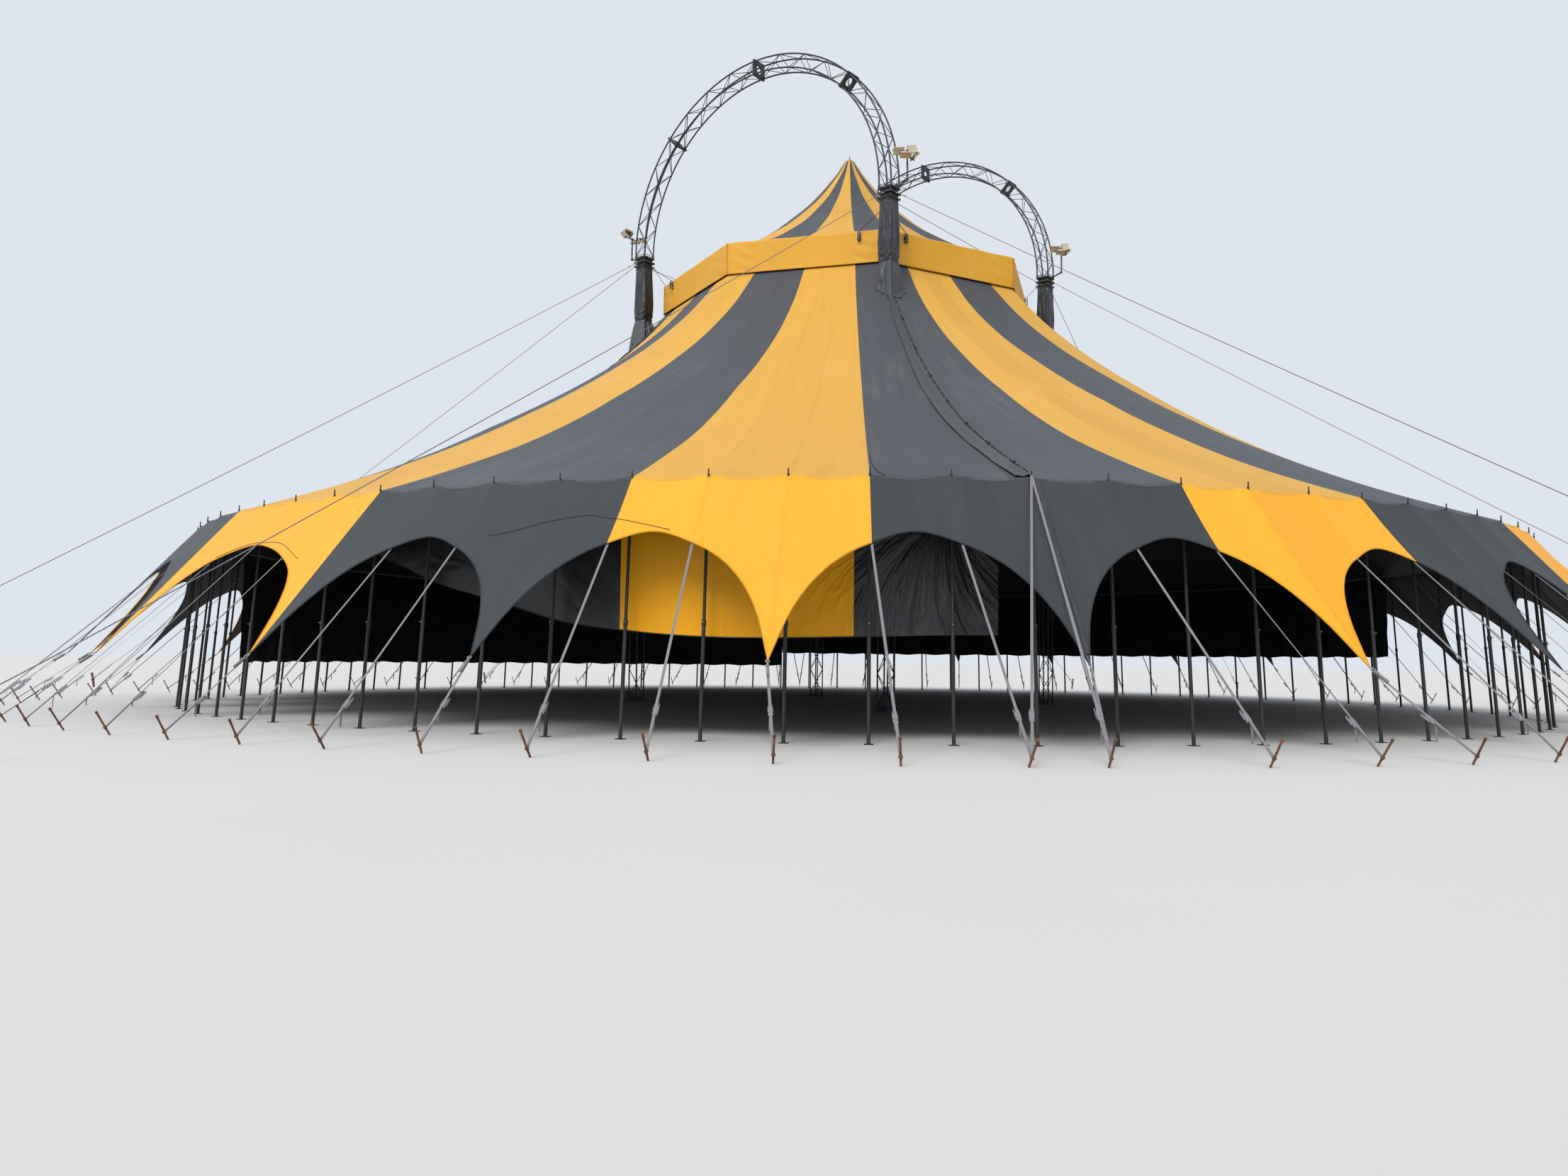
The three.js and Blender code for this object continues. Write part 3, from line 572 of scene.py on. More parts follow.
def axes(x, y, z, place):
    """Matrix with these axes at a place"""
    m = Matrix.Identity(4)
    for k in range(3):
        m[k][0], m[k][1], m[k][2], m[k][3] = x[k], y[k], z[k], place[k]
    return m


def bar(a, b, radius):
    """Matrix that lays a rod of size 1 along Z from a to b, made that thick"""
    a, b = Vector(a), Vector(b)
    z = (b - a).normalized()
    across = Vector((1, 0, 0) if abs(z.z) > 0.98 else (0, 0, 1))
    x = (across - across.dot(z) * z).normalized()
    return axes(x, z.cross(x), z * (b - a).length, a) @ Matrix.Diagonal((radius, radius, 1, 1))


def rod_pattern():
    return upright(0, 0, 0, 1, 1, 8, 0, "truss_paint")


def turned(place, z_turn=0.0):
    return Matrix.Translation(place) @ Matrix.Rotation(z_turn, 4, "Z")


def mast_places():
    """Number, middle and azimuth of the four masts"""
    for i, (x, y) in enumerate(CORNERS):
        yield i + 1, Vector((x * MAST_XY * S, y * MAST_XY * S, 0)), math.radians(-45 + 90 * i)


def at_masts(name, pattern, slot, node, mirror=False):
    """A copy of the pattern at each mast, which stands for its node; mirror turns the left ones round"""
    for n, middle, _ in mast_places():
        place = turned(middle, math.pi if mirror and middle.x < 0 else 0)
        fit(copies(f"{name}_{n}", pattern, [place], done=n == 4), slot, f"{node}_{n}")


# Finishes

class Value:
    """A socket of a finish, with its arithmetic as Python expressions"""

    def __init__(self, paint, socket):
        self.paint, self.socket = paint, socket

    def maths(self, operation, *values):
        return self.paint.node("ShaderNodeMath", {"operation": operation}, dict(enumerate(values)))

    def __add__(self, other):
        return self.maths("ADD", self, other)

    def __sub__(self, other):
        return self.maths("SUBTRACT", self, other)

    def __rsub__(self, other):
        return self.maths("SUBTRACT", other, self)

    def __mul__(self, other):
        return self.maths("MULTIPLY", self, other)

    def __truediv__(self, other):
        return self.maths("DIVIDE", self, other)

    def __abs__(self):
        return self.maths("ABSOLUTE", self)

    __radd__, __rmul__ = __add__, __mul__

    def floor(self):
        return self.maths("FLOOR", self)

    def fraction(self):
        return self.maths("FRACT", self)

    def sine(self):
        return self.maths("SINE", self)

    def root(self):
        return self.maths("SQRT", self)

    def angle(self, other):
        """Angle whose tangent is this over the other"""
        return self.maths("ARCTAN2", self, other)

    def rise(self, low, high):
        """0 below low, 1 above high, with a smooth step between; falls where low is above high"""
        return self.paint.node(
            "ShaderNodeMapRange", {"interpolation_type": "SMOOTHSTEP"},
            {"Value": self, "From Min": low, "From Max": high, "To Min": 0.0, "To Max": 1.0})


class Paint:
    """One procedural finish"""

    def __init__(self, name):
        self.material = bpy.data.materials.new(name)
        self.material.use_nodes = True
        self.tree = self.material.node_tree
        self.shader = self.tree.nodes["Principled BSDF"]

    def feed(self, socket, value):
        if isinstance(value, Value):
            self.tree.links.new(value.socket, socket)
        else:
            socket.default_value = value

    def node(self, kind, settings=None, inputs=None, output=0):
        made = self.tree.nodes.new(kind)
        for key, value in (settings or {}).items():
            setattr(made, key, value)
        for key, value in (inputs or {}).items():
            self.feed(made.inputs[key], value)
        return Value(self, made.outputs[output])

    def place(self):
        return self.node("ShaderNodeTexCoord", output="Object")

    def map(self, name):
        """The two numbers of a piece's own map"""
        uv = self.node("ShaderNodeUVMap", {"uv_map": name})
        return (self.node("ShaderNodeSeparateXYZ", inputs={0: uv}, output=k) for k in ("X", "Y"))

    def vector(self, x, y, z=0.0):
        return self.node("ShaderNodeCombineXYZ", inputs={"X": x, "Y": y, "Z": z})

    def stretch(self, vector, scale):
        return self.node("ShaderNodeMapping", inputs={"Vector": vector, "Scale": scale})

    def noise(self, vector, scale, detail=3.0, roughness=0.55):
        return self.node("ShaderNodeTexNoise", inputs={
            "Vector": vector, "Scale": scale, "Detail": detail, "Roughness": roughness})

    def mix(self, first, second, share):
        return self.node("ShaderNodeMix", {"data_type": "RGBA"}, {0: share, 6: first, 7: second}, 2)

    def shade(self, colour, amount):
        """Colour made lighter or darker by an amount round 1"""
        grey = self.node("ShaderNodeCombineColor", inputs={"Red": amount, "Green": amount, "Blue": amount})
        return self.node("ShaderNodeMix", {"data_type": "RGBA", "blend_type": "MULTIPLY"},
                         {0: 1.0, 6: colour, 7: grey}, 2)

    def bump(self, height, depth, strength=1.0, under=None):
        inputs = {"Height": height, "Distance": depth, "Strength": strength}
        if under is not None:
            inputs["Normal"] = under
        return self.node("ShaderNodeBump", None, inputs)

    def finish(self, **sockets):
        for key, value in sockets.items():
            self.feed(self.shader.inputs[key.replace("_", " ")], value)
        return self.material


def rgba(colour):
    return (*colour, 1.0)


def tint(colour, factor):
    return [x * factor for x in colour]


def canvas_finish(name, colour, dusty, seam_width, crown=False):
    """Coated tent canvas with welded seams at the whole pin numbers, rain streaks and a woven grain"""
    p = Paint(name)
    place = p.place()
    u, v = p.map("panel")
    away = abs((u + 0.5).fraction() - 0.5) * seam_width
    if crown:
        away = away * (v / 7.0)
    seam = away.rise(0.024, 0.019)
    stitch = abs(away - 0.013).rise(0.0042, 0.0015)
    tone = p.node("ShaderNodeTexWhiteNoise", {"noise_dimensions": "1D"}, {"W": u.floor() + 0.37}, "Value")
    streak = p.noise(p.vector(u * 2.2, v * 0.22), 2.0, 4.0, 0.6)
    blotch = p.noise(place, 0.55, 4.0, 0.6)
    grain = p.noise(p.stretch(place, (1, 1, 1.6)), 38.0, 3.0, 0.7)
    weave = p.noise(place, 260.0, 2.0, 0.6)
    light = 0.885 + tone * 0.09 + (grain - 0.5) * 0.26 + (weave - 0.5) * 0.10 + (blotch - 0.5) * 0.16
    light = light + (streak - 0.5) * 0.18 - stitch * 0.09 - seam * 0.02
    base = p.mix(rgba(colour), rgba(dusty), (streak + blotch - 0.95).rise(0.0, 0.5) * 0.45)
    skin = p.bump(weave, 0.0006, 0.5)
    skin = p.bump(grain, 0.0025, 0.35, skin)
    skin = p.bump(seam * 0.6 - stitch * 0.4, 0.002, 0.4, skin)
    return p.finish(Base_Color=p.shade(base, light), Roughness=0.50 + grain * 0.2 + streak * 0.08,
                    Normal=skin, Specular_IOR_Level=0.45)


def lining_finish(name, colour):
    """Black coating on the underside of the cloths"""
    p = Paint(name)
    place = p.place()
    fold, grain = p.noise(place, 1.3, 4.0), p.noise(place, 120.0, 2.0)
    return p.finish(Base_Color=p.shade(rgba(colour), 0.7 + fold * 0.7), Roughness=0.5 + grain * 0.25,
                    Normal=p.bump(grain, 0.001, 0.4), Specular_IOR_Level=0.3)


def gloss_finish(name, colour, dusty, shine, creases, depth=0.03):
    """Shiny coated cloth with creases, scuffs and dust, and painted shade in the hollows of the creases"""
    p = Paint(name)
    place = p.place()
    crease = p.noise(p.stretch(place, creases), 1.0, 4.0, 0.62)
    dust = p.noise(place, 3.1, 5.0, 0.65)
    grain = p.noise(place, 150.0, 2.0)
    base = p.mix(rgba(colour), rgba(dusty), dust.rise(0.50, 0.80) * 0.6)
    skin = p.bump(crease, depth, 0.55)
    skin = p.bump(grain, 0.0008, 0.35, skin)
    # The colour is lighter on the crests and darker in the hollows of the creases, a painted shade
    return p.finish(Base_Color=p.shade(base, 0.82 + grain * 0.22 + crease * 0.16),
                    Roughness=shine + dust * 0.22 + grain * 0.08, Normal=skin)


def curtain_finish(name, colour, dusty, shine, crisp, gloss):
    """Hanging cloth with creases that run out from the place where it is held, and painted shade in the
    hollows of the coarse creases
    """
    p = Paint(name)
    u, z = p.map("panel")
    side, down = (u - CURTAIN_HELD[0]) * SPAN, CURTAIN_HELD[1] - z
    angle, away = side.angle(down), (side * side + down * down).root()
    coarse = p.noise(p.vector(angle * 5.0 + z * 0.9, away.root() * 1.2), 1.0, 1.0, 0.5)
    fine = p.noise(p.vector(angle * 15.0 + z * 2.6, away.root() * 3.0), 1.0, 2.0, 0.5)
    ridge = abs(coarse - 0.5).rise(0.10, 0.0)
    small = abs(fine - 0.5).rise(0.09, 0.0)
    dust, grain = p.noise(p.place(), 2.1, 5.0, 0.65), p.noise(p.place(), 150.0, 2.0)
    base = p.mix(rgba(colour), rgba(dusty), dust.rise(0.50, 0.80) * 0.6)
    skin = p.bump((coarse * 0.6 + (ridge * 0.22 + small * 0.09 + fine * 0.12) * crisp) * away.rise(0.2, 1.8),
                  0.12, 0.5)
    skin = p.bump(grain, 0.0008, 0.3, skin)
    # The colour is lighter on the crests and darker in the hollows of the coarse creases, a painted shade
    return p.finish(Base_Color=p.shade(base, 0.84 + grain * 0.2 + coarse * 0.18), Normal=skin,
                    Roughness=shine + dust * 0.18 + grain * 0.06, Specular_IOR_Level=gloss)


def paint_finish(name, colour, chip, metal=0.0, rough=0.42, chips=0.62):
    """Painted steel with scuffs, chips and grime"""
    p = Paint(name)
    place = p.place()
    wear, grime, grain = p.noise(place, 14.0, 6.0, 0.7), p.noise(place, 2.4, 4.0), p.noise(place, 110.0, 2.0)
    bare = wear.rise(chips, chips + 0.05)
    base = p.mix(rgba(colour), rgba(chip), bare * 0.8)
    return p.finish(Base_Color=p.shade(base, 0.72 + grime * 0.5 + grain * 0.08), Metallic=bare * 0.3 + metal,
                    Roughness=rough + grime * 0.22 + bare * 0.12 + grain * 0.06,
                    Normal=p.bump(grain * 0.3 + (1 - bare), 0.0006, 0.5))


def webbing_finish(name, colour):
    """Woven polyester webbing: ribs across, a stitched line at both edges, dust"""
    p = Paint(name)
    along, across = p.map("along")
    rib = (along * (2 * math.pi / 0.004)).sine()
    line = (across * (2 * math.pi / 0.0095)).sine()
    dust, blotch = p.noise(p.place(), 6.0, 4.0), p.noise(p.vector(along * 1.2, across), 2.0, 4.0)
    light = 0.84 + rib * 0.05 + line * 0.07 + dust * 0.22 + (blotch - 0.5) * 0.3
    return p.finish(Base_Color=p.shade(rgba(colour), light), Roughness=0.72 + dust * 0.18,
                    Normal=p.bump(rib * 0.5 + line * 0.3, 0.0006, 0.7))


def strand_finish(name, colour, pitch, metal, dusty):
    """Laid rope or wire rope: strands wind round it"""
    p = Paint(name)
    along, across = p.map("along")
    strand = (along * (2 * math.pi / pitch) + across * (2 * math.pi / (pitch * 0.35))).sine()
    grime = p.noise(p.place(), 5.0, 4.0)
    base = p.mix(rgba(colour), rgba(dusty), grime.rise(0.45, 0.75) * 0.6)
    return p.finish(Base_Color=p.shade(base, 0.85 + strand * 0.18), Metallic=metal,
                    Roughness=0.5 + grime * 0.25, Normal=p.bump(strand, 0.0012, 0.9))


def rust_finish(name, colour, deep):
    """Rusty forged iron"""
    p = Paint(name)
    place = p.place()
    scale, pit = p.noise(place, 22.0, 6.0, 0.7), p.noise(place, 140.0, 3.0)
    base = p.mix(rgba(deep), rgba(colour), scale.rise(0.35, 0.62))
    return p.finish(Base_Color=p.shade(base, 0.8 + pit * 0.4), Roughness=0.72 + pit * 0.2,
                    Normal=p.bump(scale + pit * 0.5, 0.002, 0.6))


def glass_finish(name, colour):
    """Frosted front glass over a grid of small diodes"""
    p = Paint(name)
    place = p.place()
    cell = p.noise(place, 90.0, 1.0)
    return p.finish(Base_Color=p.shade(rgba(colour), 0.75 + cell * 0.5), Roughness=0.12 + cell * 0.1,
                    Coat_Weight=0.6, Normal=p.bump(cell, 0.0006, 0.3))


def floor_finish(name, colour):
    """Plain pale ground"""
    p = Paint(name)
    wide, fine = p.noise(p.place(), 0.35, 4.0), p.noise(p.place(), 40.0, 3.0)
    return p.finish(Base_Color=p.shade(rgba(colour), 0.96 + wide * 0.05 + fine * 0.03),
                    Roughness=0.82 + fine * 0.1, Normal=p.bump(fine, 0.002, 0.2))


def finish(name):
    """The finish of that name, made when it is first asked for"""
    made = bpy.data.materials.get(name)
    if made:
        return made
    c, r = bpy.context.scene.big_top_canvas, bpy.context.scene.big_top_rigging
    dust_yellow, dust_grey = (0.56, 0.30, 0.06), (0.10, 0.10, 0.10)
    recipes = {
        # The roof and cap finishes start from the roof colours, which carry a painted sheen of the sky
        "canvas_yellow_roof": (canvas_finish, c.yellow_roof_painted_sheen, (0.60, 0.34, 0.09), 0.72),
        "canvas_dark_roof": (canvas_finish, c.dark_roof_painted_sheen, dust_grey, 0.72),
        "canvas_yellow_skirt": (canvas_finish, c.yellow, (0.60, 0.29, 0.025), 0.80),
        "canvas_dark_skirt": (canvas_finish, c.dark, (0.046, 0.050, 0.053), 0.80),
        "canvas_yellow_crown": (canvas_finish, tint(c.yellow_roof_painted_sheen, 0.95), dust_yellow, 0.92, True),
        "canvas_dark_crown": (canvas_finish, tint(c.dark_roof_painted_sheen, 0.9), dust_grey, 0.92, True),
        "canvas_valance": (canvas_finish, c.valance, dust_yellow, 2.6),
        "canvas_inside": (lining_finish, c.inside),
        "sleeve_gloss": (gloss_finish, (0.011, 0.012, 0.014), (0.042, 0.042, 0.041), 0.24, (9, 9, 4)),
        "curtain_dark": (curtain_finish, (0.009, 0.010, 0.012), (0.028, 0.029, 0.029), 0.27, 1.0, 0.5),
        "curtain_far": (curtain_finish, (0.009, 0.010, 0.012), (0.02, 0.02, 0.02), 0.5, 0.2, 0.2),
        "curtain_yellow": (curtain_finish, (0.70, 0.31, 0.003), (0.58, 0.27, 0.012), 0.36, 1.2, 0.2),
        "fold_awning": (gloss_finish, tint(c.dark, 0.8), (0.07, 0.07, 0.07), 0.5, (6, 6, 6)),
        # Darker than the roof's dark stripes, painted shade in the folds of the fold band; the sleeve skirts
        # also use it
        "fold_dark": (gloss_finish, (0.034, 0.038, 0.044), (0.08, 0.08, 0.08), 0.34, (6, 6, 6)),
        "truss_paint": (paint_finish, r.paint, (0.10, 0.055, 0.035), 0.0, 0.34, 0.66),
        "black_steel": (paint_finish, (0.013, 0.014, 0.016), (0.10, 0.09, 0.08), 0.0, 0.36, 0.64),
        "side_pole_paint": (paint_finish, (0.012, 0.013, 0.015), (0.06, 0.05, 0.04), 0.0, 0.45, 0.66),
        "lamp_tan": (paint_finish, (0.44, 0.35, 0.22), (0.30, 0.25, 0.18), 0.0, 0.45, 0.66),
        "lamp_glass": (glass_finish, (0.50, 0.43, 0.32)),
        "zinc": (paint_finish, (0.36, 0.37, 0.38), (0.20, 0.15, 0.11), 0.65, 0.34, 0.62),
        "rust_iron": (rust_finish, (0.20, 0.072, 0.035), (0.055, 0.024, 0.016)),
        "webbing_grey": (webbing_finish, r.webbing),
        "webbing_black": (webbing_finish, (0.02, 0.02, 0.022)),
        "webbing_yellow": (webbing_finish, (0.52, 0.27, 0.018)),
        "hem_yellow": (webbing_finish, tint(c.yellow, 0.8)),
        "hem_dark": (webbing_finish, tint(c.dark, 0.8)),
        "rope_grey": (strand_finish, (0.10, 0.10, 0.10), 0.03, 0.0, (0.16, 0.15, 0.14)),
        "wire_rope": (strand_finish, (0.21, 0.215, 0.225), 0.045, 0.45, (0.26, 0.25, 0.24)),
        "rope_black": (strand_finish, (0.012, 0.012, 0.014), 0.04, 0.0, (0.05, 0.05, 0.05)),
        "hem_valance": (gloss_finish, tint(c.valance, 0.85), dust_yellow, 0.5, (4, 4, 4), 0.01),
    }
    maker, *values = recipes[name]
    return maker(name, *values)


# Pieces

def stripe_part(columns):
    """0 for a yellow and 1 for a dark column, by the pin number in its middle"""
    which = np.searchsorted(SECTOR_PINS, columns, "right") - 1
    return (which % 2 == 0).astype(int)


def seam_gap(u, width):
    """Step back from the seams at both ends of a quarter"""
    gap = np.zeros_like(u)
    gap[:, 0], gap[:, -1] = width, -width
    return gap


class PieceOperator:
    """What every operator of the tent shares"""
    bl_options = {"REGISTER", "UNDO"}


class TENT_OT_roof(PieceOperator, bpy.types.Operator):
    """Four quarters of the striped main roof, from the crown to the eave"""
    bl_idname = "big_top.roof"
    bl_label = "Roof"

    def execute(self, context):
        canvas = context.scene.big_top_canvas
        u = np.arange(SPANS * 4 + 1) / 4
        r = np.concatenate((np.linspace(CROWN_R, 9.4, 13), np.linspace(9.7, 21.1, 34),
                            (21.5, 21.8, 21.985, 22.03)))
        for q, side in enumerate(SIDES):
            rr, uu = grid(r, u)
            radius, az, z = roof_place(q, uu, rr)
            points = polar(radius, az + seam_gap(uu, 0.006) / np.maximum(radius, 1), z)
            points[:, :, 2] += 0.004
            # The edge folds down over the top of the awning
            points[-1, :, 2] = points[-2, :, 2] - AWNING_SLOPE * (r[-1] - r[-2]) * S
            # The cloth is cut out round the masts
            middle = (points[:-1, :-1] + points[1:, 1:]) / 2
            keep = np.ones(middle.shape[:2], bool)
            for _, mast, _ in mast_places():
                keep &= np.abs(middle[:, :, :2] - np.array(mast[:2])).max(2) > 0.16
            obj = cloth(f"roof_cloth_{side}", points, canvas.thickness, (u, r),
                        ("canvas_yellow_roof", "canvas_dark_roof", "canvas_inside"),
                        stripe_part(u[:-1] + 0.125), keep=keep)
            fit(obj, "canvas_yellow", f"roof_canvas_{q + 1}")
            cut_area(obj)
        return {"FINISHED"}


class TENT_OT_awning(PieceOperator, bpy.types.Operator):
    """Scalloped awning outside the side poles, with its hem, cords and the folds at the mast seams"""
    bl_idname = "big_top.awning"
    bl_label = "Awning"

    def execute(self, context):
        canvas = context.scene.big_top_canvas
        step = np.array((0, 0.04, 0.085, 0.14, 0.2, 0.27, 0.35, 0.43, 0.5, 0.57, 0.65, 0.73, 0.8, 0.86, 0.915,
                         0.96))
        u = np.concatenate([step + k for k in range(SPANS)] + [np.array([SPANS])])
        s = np.linspace(0, 1, 15)
        pins = [len(step) * k for k in range(SPANS + 1)]
        for q, side in enumerate(SIDES):
            ss, uu = grid(s, u)
            r = AWNING_R + (hem_radius(uu) - AWNING_R) * ss
            points = polar(r * straight(uu), pin_az(q, uu) + seam_gap(uu, 0.003) / 23, self.height(uu, r, ss))
            edge = (hem_radius(u)[None] - r) * S * 1.55
            obj = cloth(f"awning_cloth_{side}", points, canvas.thickness, (u, edge),
                        ("canvas_yellow_skirt", "canvas_dark_skirt", "canvas_inside"),
                        stripe_part((u[:-1] + u[1:]) / 2), creases=pins)
            fit(obj, "canvas_yellow", f"awning_{q + 1}")
            hem, lines, fold = self.hem(side, u, points[-1]), self.lines(q, side), self.fold(q)
            cut_area(obj)
        return {"FINISHED"}

    def hem(self, side, u, edge):
        """Welded edge of the scallops, in the colour of each stripe"""
        path = edge + np.array((0, 0, -0.0005))
        ends = [int(np.argmin(np.abs(u - pin))) for pin in SECTOR_PINS]
        runs = [(path[a:b + 1], flat_profile(0.013, 0.0045), ROPE_TURN, (k + 1) % 2)
                for k, (a, b) in enumerate(zip(ends, ends[1:]))]
        return fit(sweep(f"awning_hem_{side}", runs, "hem_yellow", "hem_dark"), "canvas_dark")

    def height(self, u, r, part):
        """Height of the awning cloth, part being 0 at the eave and 1 at the edge"""
        drum, near = between(u), from_tip(u)
        z = awning_z(r) - 0.006 * (1 - part) ** 8 - 0.046 * drum * (1 - part) ** 2
        # Panels belly a little between the poles and more between the tips
        return z - np.sin(math.pi * part) * (0.055 * np.clip(near, 0, 1.5) / 1.5 + 0.012 * drum)

    def lines(self, q, side):
        """Thin cords that lie on the awning above two of its arches, and one on the roof above the eave"""
        runs = []
        for knots in (((15.38, 23.00), (15.93, 22.87), (16.13, 22.79), (16.67, 22.67), (16.84, 22.72),
                       (17.06, 22.76), (17.70, 22.98)), ((10.09, 23.25), (11.61, 22.93), (12.41, 23.31))):
            t = np.linspace(knots[0][0], knots[-1][0], 40)
            hem = hem_radius(t)
            r = np.minimum(smooth(knots)(t), hem - 0.04)
            z = self.height(t, r, (r - AWNING_R) / (hem - AWNING_R)) + 0.008
            runs.append(rod(polar(r * straight(t), pin_az(q, t), z), 0.0032, 6))
        t = np.linspace(0, 1, 30)
        r, u = 20.0 + 1.96 * t, 20.03 + 0.02 * t + 0.13 * t**4
        radius, az, z = roof_place(q, u, r)
        runs.append(rod(polar(radius, az, z + 0.018), 0.0045, 6))
        return fit(sweep(f"awning_cords_{side}", runs, "rope_black"), "canvas_dark")

    def fold(self, q):
        """Loose fold of cloth down the mast seam, from the eave to the tip"""
        s, across = np.linspace(0, 1, 34), np.linspace(-1, 1, 9)
        ss, cc = grid(s, across)
        r = FOLD[0] + (FOLD[1] - FOLD[0]) * ss
        shift = 0.10 - 0.07 * ss + 0.012 * np.sin(9 * ss + q) + (0.085 - 0.045 * ss) * cc
        hump = 0.5 + 0.5 * np.cos(math.pi * cc)
        lift = 0.012 + hump * (0.035 + 0.014 * np.sin(14 * ss + 2 * q)) * (1 - 0.4 * ss)
        az = float(pin_az(q, 0))
        points = polar(r, az, awning_z(r) + lift) + (shift * S)[:, :, None] * eave_way(az)
        band = cloth(f"awning_fold_{q + 1}", points, 0.002, (across * 0.1, s * 1.5),
                     ("fold_awning", "canvas_inside"))
        return fit(band, "canvas_dark")


class TENT_OT_crown(PieceOperator, bpy.types.Operator):
    """Cap and valance over the crown ring, with the finial"""
    bl_idname = "big_top.crown"
    bl_label = "Crown"

    def execute(self, context):
        thickness = context.scene.big_top_canvas.thickness
        self.cap(thickness)
        self.valance(thickness)
        self.finial()
        dress(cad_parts["crown_ring"], "truss_paint")
        return {"FINISHED"}

    def cap(self, thickness):
        count = 144
        az = np.radians(np.arange(count) * 360 / count)
        r = np.concatenate(((0.06, 0.12, 0.2), np.linspace(0.35, CAP_EDGE, 44)))
        rr, aa = grid(r, az)
        sector = (np.degrees(aa) - 7.5) / 15
        drop = 0.035 * between(sector) * np.clip(rr / 5, 0, 1)
        points = polar(rr * rounded(aa, (CAP_EDGE - rr) / 4.5), aa, cap_z(rr) - drop)
        u = (np.arange(count + 1) * 2.5 - 7.5) / 15
        # Yellow sectors are centred on the odd multiples of 15 degrees from a mast
        part = (np.floor(u[:-1] + 0.01).astype(int) + 1) % 2
        obj = cloth("crown_cap_cloth", points, thickness, (u, r),
                    ("canvas_yellow_crown", "canvas_dark_crown", "canvas_inside"), part, wrap=True)
        fit(obj, "canvas_yellow", "crown_cap")
        cut_area(obj)

    def valance(self, thickness):
        per_side = 36
        count = per_side * 8
        along = np.arange(count) / per_side
        # Even steps along each straight side, corners at the whole numbers
        t = (along % 1 - 0.5) * 2 * math.tan(math.pi / 8)
        az = np.radians(45 * np.floor(along) + 22.5) + np.arctan(t)
        z = np.concatenate(((15.605, 15.60, 15.59, 15.572), np.linspace(15.545, 14.545, 20), (VALANCE_Z0,)))
        fold = np.concatenate(((-0.16, -0.09, -0.03, -0.006), np.zeros(21)))
        zz, aa = grid(z, az)
        side, s = np.floor(along)[None], (along % 1)[None]
        h = np.clip((zz - VALANCE_Z0) / VALANCE_DROP, 0, 1)
        press = np.sin(math.pi * h)
        wave = lambda turns: np.sin(2 * math.pi * turns)
        # Each side sags in its middle, wrinkles at the hoist blocks and puckers at its corners
        bulge = 0.012 * press - 0.022 * press * np.sin(math.pi * s)
        bulge = bulge + 0.005 * wave(9 * s + 1.7 * h + 0.37 * side) * press
        bulge = bulge + 0.004 * wave(21 * s - 3.1 * h + 0.61 * side) * h
        pull = np.exp(-((s - 0.13) / 0.05) ** 2) + np.exp(-((s - 0.87) / 0.05) ** 2)
        bulge = bulge + 0.010 * pull * wave(2.6 * h + 5 * s)
        from_end = np.minimum(s, 1 - s)
        corner = np.exp(-(from_end / 0.10) ** 2) * np.clip(from_end / 0.02, 0, 1)
        bulge = bulge + 0.009 * corner * press * wave(2.3 * h + 7 * s + 0.3 * side)
        bulge = bulge + 0.006 * press * wave(1.4 * h - 14 * s + 0.23 * side) * wave(3 * s + 0.17 * side)
        radius = RING_R * octagon(aa) + fold[:, None] + np.clip(bulge, -0.03, 0.012)
        points = polar(radius, aa, zz + 0.008 * wave(4 * s + 0.4 * side))
        obj = cloth("valance_cloth", points, thickness, (np.arange(count + 1) / per_side, z),
                    ("canvas_valance", "canvas_inside"), wrap=True)
        fit(obj, "canvas_yellow", "valance")
        closed = np.append(az, az[0] + 2 * math.pi)
        path = polar(RING_R * octagon(closed) + 0.004, closed, 14.525)
        hem = fit(sweep("valance_hem", [rod(path, 0.011)], "hem_valance"), "canvas_yellow")
        seams = [(polar(RING_R + 0.006, a, np.linspace(15.56, 14.53, 8)), flat_profile(0.03, 0.004),
                  eave_way(a)) for a in np.radians(np.arange(8) * 45.0)]
        seam = fit(sweep("valance_seams", seams, "webbing_yellow"), "canvas_yellow")
        cut_area(obj)

    def finial(self):
        at = lambda rise: (PEAK + rise) * S
        parts = [upright(0, 0, at(0), at(0.045), 0.042, 24, 0.004),
                 upright(0, 0, at(0.04), at(0.07), 0.024, 16, 0.003),
                 upright(0, 0, at(0.06), at(0.19), 0.0085, 12, 0.001, "black_steel"),
                 ring((0, 0, at(0.205)), (0, 1, 0), 0.012, 0.0035, "zinc", 20, 8)]
        for k in range(6):
            x, y = (0.033 * way(math.radians(60 * k)) for way in (math.cos, math.sin))
            parts.append(upright(x, y, at(0.04), at(0.057), 0.005, 6, 0.001))
        fit(assemble("finial", parts), "truss_steel", "cap_finial")


